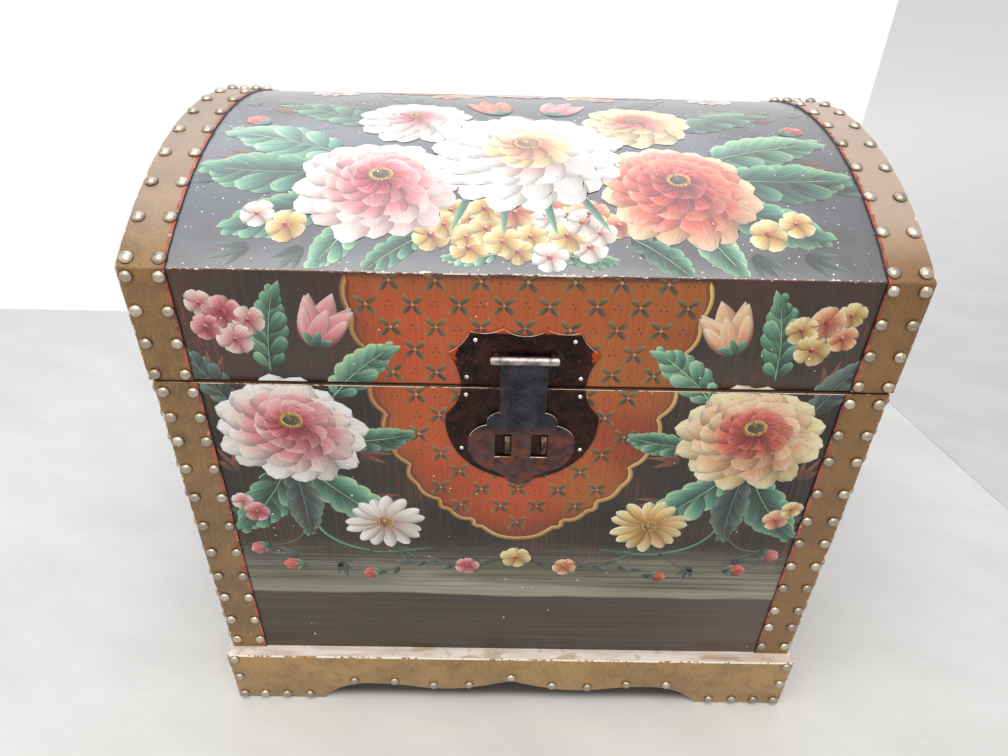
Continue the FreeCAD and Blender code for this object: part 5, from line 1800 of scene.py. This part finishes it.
@dataclass(frozen=True)
class Painting:
    """The painted flowers: a garland on the dome, vines beside the cartouche, sprays elsewhere."""

    gap: float = 0.4  # bare strip left beside a seam or ridge, in millimetres
    dome_gap: float = 1.6  # the same at the dome's ridges

    def front(self) -> Picture:
        """Paints the front: the cartouche, two flowering vines and a running spray on the ledge."""
        work = Picture(11)
        Cartouche().paint(work)
        left, right = halves(work)
        self.vine(left, (WHITE, SHELL, PINK, PINK, ROSE), WHITE, SHELL, PINK)
        self.vine(right, (CREAM, PEACH, PEACH, CORAL, RED), CREAM, CREAM, PEACH)
        for half, eye in ((left, PINK), (right, PEACH)):
            run = [half.at(6, 158), half.at(34, 148), half.at(66, 153), half.at(92, 142)]
            work.spray(run, DUSK_LEAF, 0.04, 9, 11)
            work.bud(half.at(93, 142), 14, half.way(-8), RED, 0.12)
            work.blossom(half.at(34, 150), 8, eye, 0.12)
        work.blossom((0, 159), 10, CREAM, 0.12, petals=6)
        return work

    def vine(self, half: Half, big: Sequence[Palette], open_: Palette, small: Palette,
             bright: Palette) -> None:
        """Paints one side's vine, from the ledge up to the lid's corner.

        Args:
            half: Its side.
            big: Colours of the full flower.
            open_: Colours of the daisy.
            small: Colours of pale blossoms.
            bright: Colours of stronger ones.
        """
        work, at, way = half.picture, half.at, half.way
        half.touches(((178, 236, 55), (94, 214, 188), (176, 306, 70), (100, 250, 165)), EMBER, 17)
        half.touches(((150, 158, 0), (84, 166, 205), (181, 196, 60), (122, 152, 250)), DUSK_LEAF, 15)
        work.trail([at(56, 168), at(98, 164), at(130, 182), at(141, 226)], 2.4, 1.6, LEAF, 0.04)
        work.trail([at(98, 165), at(122, 148), at(146, 148)], 1.4, 0.8, DUSK_LEAF, 0.04)
        work.trail([at(134, 192), at(152, 172), at(168, 168)], 1.4, 0.8, DUSK_LEAF, 0.04)
        work.trail([at(143, 316), at(150, 334), at(164, 344)], 1.6, 1.0, LEAF, 0.04)
        half.leaves((
            (172, 288, 48, 22, 66, -0.16, DUSK_LEAF), (146, 312, 58, 25, 92, 0.14, LEAF),
            (112, 296, 52, 25, 128, 0.16, PALE_LEAF), (106, 262, 40, 21, 178, -0.14, LEAF),
            (134, 240, 72, 34, -128, -0.16, PALE_LEAF), (148, 238, 66, 34, -66, 0.18, LEAF),
            (142, 236, 56, 26, -98, 0.10, DUSK_LEAF),
        ), 0.06)
        work.rosette(at(140, 272), 45, big, OLIVE, 0.20, petals=16, flat=0.88, lean=80)
        work.tulip(at(119, 330), 36, way(112), bright, 0.18)
        work.daisy(at(88, 192), 26, open_, OCHRE, 0.22, petals=15)
        half.blossoms((
            (162, 334, 10, small), (177, 342, 8.5, bright), (166, 352, 10.5, bright), (153, 347, 9, small),
            (178, 357, 8, small), (180, 210, 7, small), (172, 200, 8.5, bright),
        ), 0.16)
        work.bud(at(146, 148), 16, way(4), RED, 0.16)
        work.bud(at(168, 168), 15, way(-22), ROSE, 0.16)

    def garland(self) -> list[Picture]:
        """Paints the dome's garland in four pictures: two ends, the middle and the back."""
        left, right, middle, back = (Picture(seed) for seed in (21, 22, 23, 24))
        self.garland_end(Half(left, -1), (SHELL, SHELL, PINK, PINK, ROSE), (WHITE, WHITE, SHELL, PINK))
        self.garland_end(Half(right, 1), (PEACH, CORAL, CORAL, RED, RED), (CREAM, CREAM, PEACH, CORAL))
        self.garland_middle(middle)
        self.garland_back(back)
        return [left, right, middle, back]

    def garland_middle(self, work: Picture) -> None:
        """Paints a tassel of small blossoms under a large pale flower and two tulips."""
        Half(work, 1).leaves((
            (-56, 26, 44, 20, 212, 0.14, LEAF), (56, 26, 44, 20, -32, -0.14, LEAF),
            (-16, 14, 30, 14, 196, -0.14, PALE_LEAF), (18, 14, 30, 14, -16, 0.14, PALE_LEAF),
        ), 0.05, 6)
        for index in range(26):
            angle = index * 2.39996
            spread = math.sqrt((index + 0.5) / 26)
            place = (56 * spread * math.cos(angle), 32 + 22 * spread * math.sin(angle))
            tint = (CREAM, PEACH, CREAM, WHITE, CREAM)[index % 5]
            work.blossom(place, work.vary(8.0, 11.5), tint, 0.18 + 0.01 * (index % 9), 5 + index % 2)
        for x, turn in ((-30, 246), (-11, 262), (9, 277), (28, 294)):
            work.stroke(Brush.LEAF, (x, 62), turn, 38, 4.6, PALE_LEAF, 0.34, 0.08)
        rings = (WHITE, WHITE, WHITE, SHELL, CREAM, PEACH)
        work.rosette((0, 100), 56, rings, OCHRE, 0.38, petals=18, flat=0.92)
        work.tulip((-15, 152), 36, 112, CORAL, 0.2)
        work.tulip((17, 152), 36, 68, PINK, 0.22)

    def garland_back(self, work: Picture) -> None:
        """Paints three full flowers along the dome's back."""
        for half, tint in zip(halves(work), ((CORAL, CORAL, RED, RED), (PINK, PINK, ROSE, ROSE))):
            half.leaves((
                (100, 246, 66, 31, 4, 0.12, LEAF), (94, 268, 52, 24, -38, -0.14, PALE_LEAF),
                (34, 264, 44, 20, -60, 0.12, LEAF), (96, 226, 60, 26, 28, -0.12, DUSK_LEAF),
            ), 0.05)
            work.rosette(half.at(78, 246), 35, tint, OLIVE, 0.2, petals=14, flat=0.94, lean=270)
            half.blossoms(((40, 214, 12, CREAM),), 0.2)
            half.blossoms(((54, 204, 10, PEACH),), 0.22)
            work.daisy(half.at(134, 212), 18, WHITE, OCHRE, 0.2)
        rings = (SHELL, SHELL, SHELL, PINK, PINK)
        work.rosette((0, 244), 43, rings, OCHRE, 0.24, petals=16, flat=0.94, lean=270)

    def garland_end(self, half: Half, bloom: Sequence[Palette], upper: Sequence[Palette]) -> None:
        """Paints one end of the garland: large leaves, a full flower, a smaller one and buds."""
        work, at, way = half.picture, half.at, half.way
        tufts = ((176, 66, 5), (170, 108, 40), (150, 16, -30), (176, 160, 60), (122, 16, -60))
        half.touches(tufts, DUSK_LEAF, 19)
        half.touches(((160, 88, -12), (150, 146, 50)), EMBER, 18)
        half.leaves((
            (60, 162, 58, 25, 58, -0.14, DUSK_LEAF), (100, 152, 66, 26, 8, 0.14, DUSK_LEAF),
            (96, 130, 70, 32, 36, -0.14, LEAF), (92, 42, 46, 24, -66, 0.12, PALE_LEAF),
            (106, 56, 66, 34, -34, 0.14, LEAF), (108, 92, 76, 38, 24, -0.10, PALE_LEAF),
            (112, 74, 74, 40, -5, 0.12, LEAF),
        ), 0.06, 8)
        work.rosette(at(86, 66), 45, bloom, OLIVE, 0.26, petals=17, flat=0.94, lean=80)
        work.rosette(at(70, 142), 34, upper, OCHRE, 0.22, petals=15, flat=0.95)
        work.trail([at(118, 124), at(140, 120), at(160, 128)], 1.6, 1.0, LEAF, 0.05)
        work.bud(at(160, 128), 18, way(30), RED, 0.14)
        half.blossoms(((132, 30, 11, CREAM),), 0.2)
        half.blossoms(((149, 38, 9.5, upper[0]),), 0.22)

    def nosegay(self, seed: int, size: float, high: float, blooms: Sequence[Palette],
                small: Palette) -> Picture:
        """Paints a round spray for a plain panel, centred on x 0.

        Args:
            seed: Source of its small differences.
            size: Radius of the main flower.
            high: Height of its middle.
            blooms: Colours of the main flower.
            small: Colours of the blossoms.

        Returns:
            The picture.
        """
        work, u = Picture(seed), size
        for half in halves(work):
            half.touches(((u * 1.9, high + u * 0.5, 30), (u * 0.6, high + u * 1.25, 80)), DUSK_LEAF, u * 0.45)
            half.leaves((
                (u * 0.6, high + u * 0.5, u * 1.3, u * 0.62, 48, -0.14, DUSK_LEAF),
                (u * 0.8, high, u * 1.5, u * 0.72, 4, 0.12, LEAF),
                (u * 0.6, high - u * 0.4, u * 1.4, u * 0.66, -40, 0.14, PALE_LEAF),
            ), 0.05)
            half.blossoms(((u * 1.35, high + u * 0.62, u * 0.24, small),), 0.16)
            half.blossoms(((u * 1.02, high + u * 0.86, u * 0.20, blooms[0]),
                           (u * 0.9, high - u * 0.95, u * 0.22, small)), 0.18)
        work.rosette((0, high), size, blooms, OLIVE, 0.2, petals=15, flat=0.92)
        return work

    def build(self) -> None:
        """Hangs each picture on its boards."""
        levels = (PLINTH_TOP, BODY_TOP, LID_BOTTOM, RIDGE, DOME_ARC)
        foot, seam, under, ridge, arc = (level / MM for level in levels)
        front, gap, dome_gap = self.front(), self.gap, self.dome_gap
        Panel("painting_body_front", CHEST, on_wall(-1, BODY_FRONT), foot, seam - gap).hang(front)
        Panel("painting_lid_front", LID, on_wall(-1, LID_FRONT), under + gap, ridge - gap).hang(front)
        for name, picture in zip(("left", "right", "middle", "back"), self.garland()):
            Panel(f"painting_dome_{name}", LID, on_dome, dome_gap, arc - dome_gap).hang(picture)
        left, right = (WHITE, SHELL, PINK, ROSE), (CREAM, PEACH, CORAL, RED)
        for (name, sign), blooms in zip(PAIR, (left, right)):
            body = self.nosegay(31 + sign, 34, 186, blooms, CREAM)
            Panel(f"painting_body_{name}", CHEST, on_end(sign, WOOD_SIDE)).hang(body)
            lid = self.nosegay(41 + sign, 19, 344, blooms, PEACH)
            Panel(f"painting_lid_{name}", LID, on_end(sign, LID_SIDE)).hang(lid)
        body, lid = self.nosegay(51, 40, 178, left, PEACH), self.nosegay(52, 17, 341, right, CREAM)
        Panel("painting_body_back", CHEST, on_wall(1, -BODY_FRONT)).hang(body)
        Panel("painting_lid_back", LID, on_wall(1, LID_BACK)).hang(lid)


@dataclass(frozen=True)
class Stage:
    """Floor, backdrop, lamps and camera."""

    back: float = 0.43  # where the floor meets the white paper
    lift: float = 0.0004  # height of the side strip above both
    reach: float = 4.0  # how far both run to the sides, and the floor to the front
    end: float = 5.0  # where the paper ends
    lens: float = 27.143  # focal length in millimetres for a 36 mm sensor
    eye: tuple[float, float, float] = (-0.01666, -0.50578, 0.56816)  # place of the camera
    turn: tuple[float, float, float] = (54.2571, -1.2511, 0.0672)  # its angles about x, y and z in degrees

    def camera(self) -> None:
        """Places the camera as a pinhole fit of the chest's corners gives it."""
        data = bpy.data.cameras.new("photograph_view")
        data.lens, data.sensor_width, data.clip_start = self.lens, 36.0, 0.01
        seen = bpy.context.scene.camera = new_piece(data.name, data)
        seen.location = self.eye
        seen.rotation_euler = [math.radians(angle) for angle in self.turn]

    def lamp(self, name: str, at: tuple, aim: tuple, size: float, watts: float, tint: str) -> None:
        """Hangs a square soft box.

        Args:
            name: Its name.
            at: Its middle.
            aim: Where it points.
            size: Its side.
            watts: Its power.
            tint: Its colour.
        """
        data = bpy.data.lights.new(name, "AREA")
        data.shape, data.size, data.energy, data.color = "SQUARE", size, watts, linear(tint)[:3]
        box = new_piece(name, data)
        box.location = at
        box.rotation_euler = (Vector(aim) - box.location).to_track_quat("-Z", "Y").to_euler()

    def lights(self) -> None:
        """Hangs a box over the chest, one behind it, one at its left and a room light."""
        self.lamp("overhead_box", (-0.1, -0.86, 1.87), (0, -0.15, 0.1), 1.8, 25.5, "#FFFEFB")
        self.lamp("window_box", (-0.1, 0.40, 1.12), (0, -0.05, 0.38), 1.1, 4.2, "#E4EDFF")
        self.lamp("left_box", (-1.5, -0.7, 1.2), (0, 0, 0.2), 0.9, 1.8, "#FFFDF8")
        world = bpy.data.worlds.new("room_light")
        bpy.context.scene.world = world
        world.use_nodes = True
        tree = world.node_tree
        tree.nodes.clear()
        height = add(tree, "SeparateXYZ", {0: add(tree, "TexCoord")[0]})[2]
        glow = add(tree, "MapRange", {"Value": height, "To Min": 0.12, "To Max": 0.94})[0]
        room = add(tree, "Background", {"Color": "#F7F7F7", "Strength": glow})[0]
        white = add(tree, "Background", {"Color": "#FFFFFF", "Strength": 1.0})[0]
        add(tree, "OutputWorld", {"Surface": camera_or_mirror(tree, room, white)})

    def sheet(self, name: str, corners: Sequence[tuple], finish: Finish) -> Piece:
        """Lays a flat sheet over four corners, counterclockwise from above."""
        select_only()
        bpy.ops.mesh.primitive_plane_add(size=1.0)
        piece = bpy.context.object
        piece.name = piece.data.name = name
        for vertex, corner in zip(piece.data.vertices, (corners[0], corners[1], corners[3], corners[2])):
            vertex.co = corner
        wear_materials(piece, finish)
        return piece

    def floor(self) -> None:
        """Lays the pale floor, white paper behind it and a darker strip at the right, which block no view."""
        edge, far = self.back, self.reach
        near = ((-far, -far, 0), (far, -far, 0), (far, edge, 0), (-far, edge, 0))
        behind = ((-far, edge, 0), (far, edge, 0), (far, self.end, 0), (-far, self.end, 0))
        right = [(x, y, self.lift) for x, y in ((0.426, edge), (1.205, -2.44), (6.0, 1.0), (2.589, self.end))]
        # The darker strip is painted paler toward its far end: painted light of an upright wall, laid flat.
        darker = PaleFloor("painted_strip_pale_grey", dark="#C7C6C5", light="#CFCECD", far="#FFFFFF")
        ground = self.sheet("floor", near, PaleFloor("painted_floor_pale_grey"))
        paper = self.sheet("backdrop", behind, WhiteCard("paper_backdrop_white"))
        side = self.sheet("side_strip", right, darker)

    def build(self) -> None:
        """Sets up the whole stage."""
        self.camera()
        self.lights()
        self.floor()
        bpy.context.scene.view_settings.view_transform = "Standard"


def main() -> None:
    """Builds the stage, then each sub-assembly of the chest."""
    for part in (Stage(), Boards(), Bands(), Studs(), Lock(), Hinges(), Painting()):
        part.build()


if __name__ == "__main__":
    logging.basicConfig(level=logging.INFO, format="%(name)s: %(message)s")
    main()
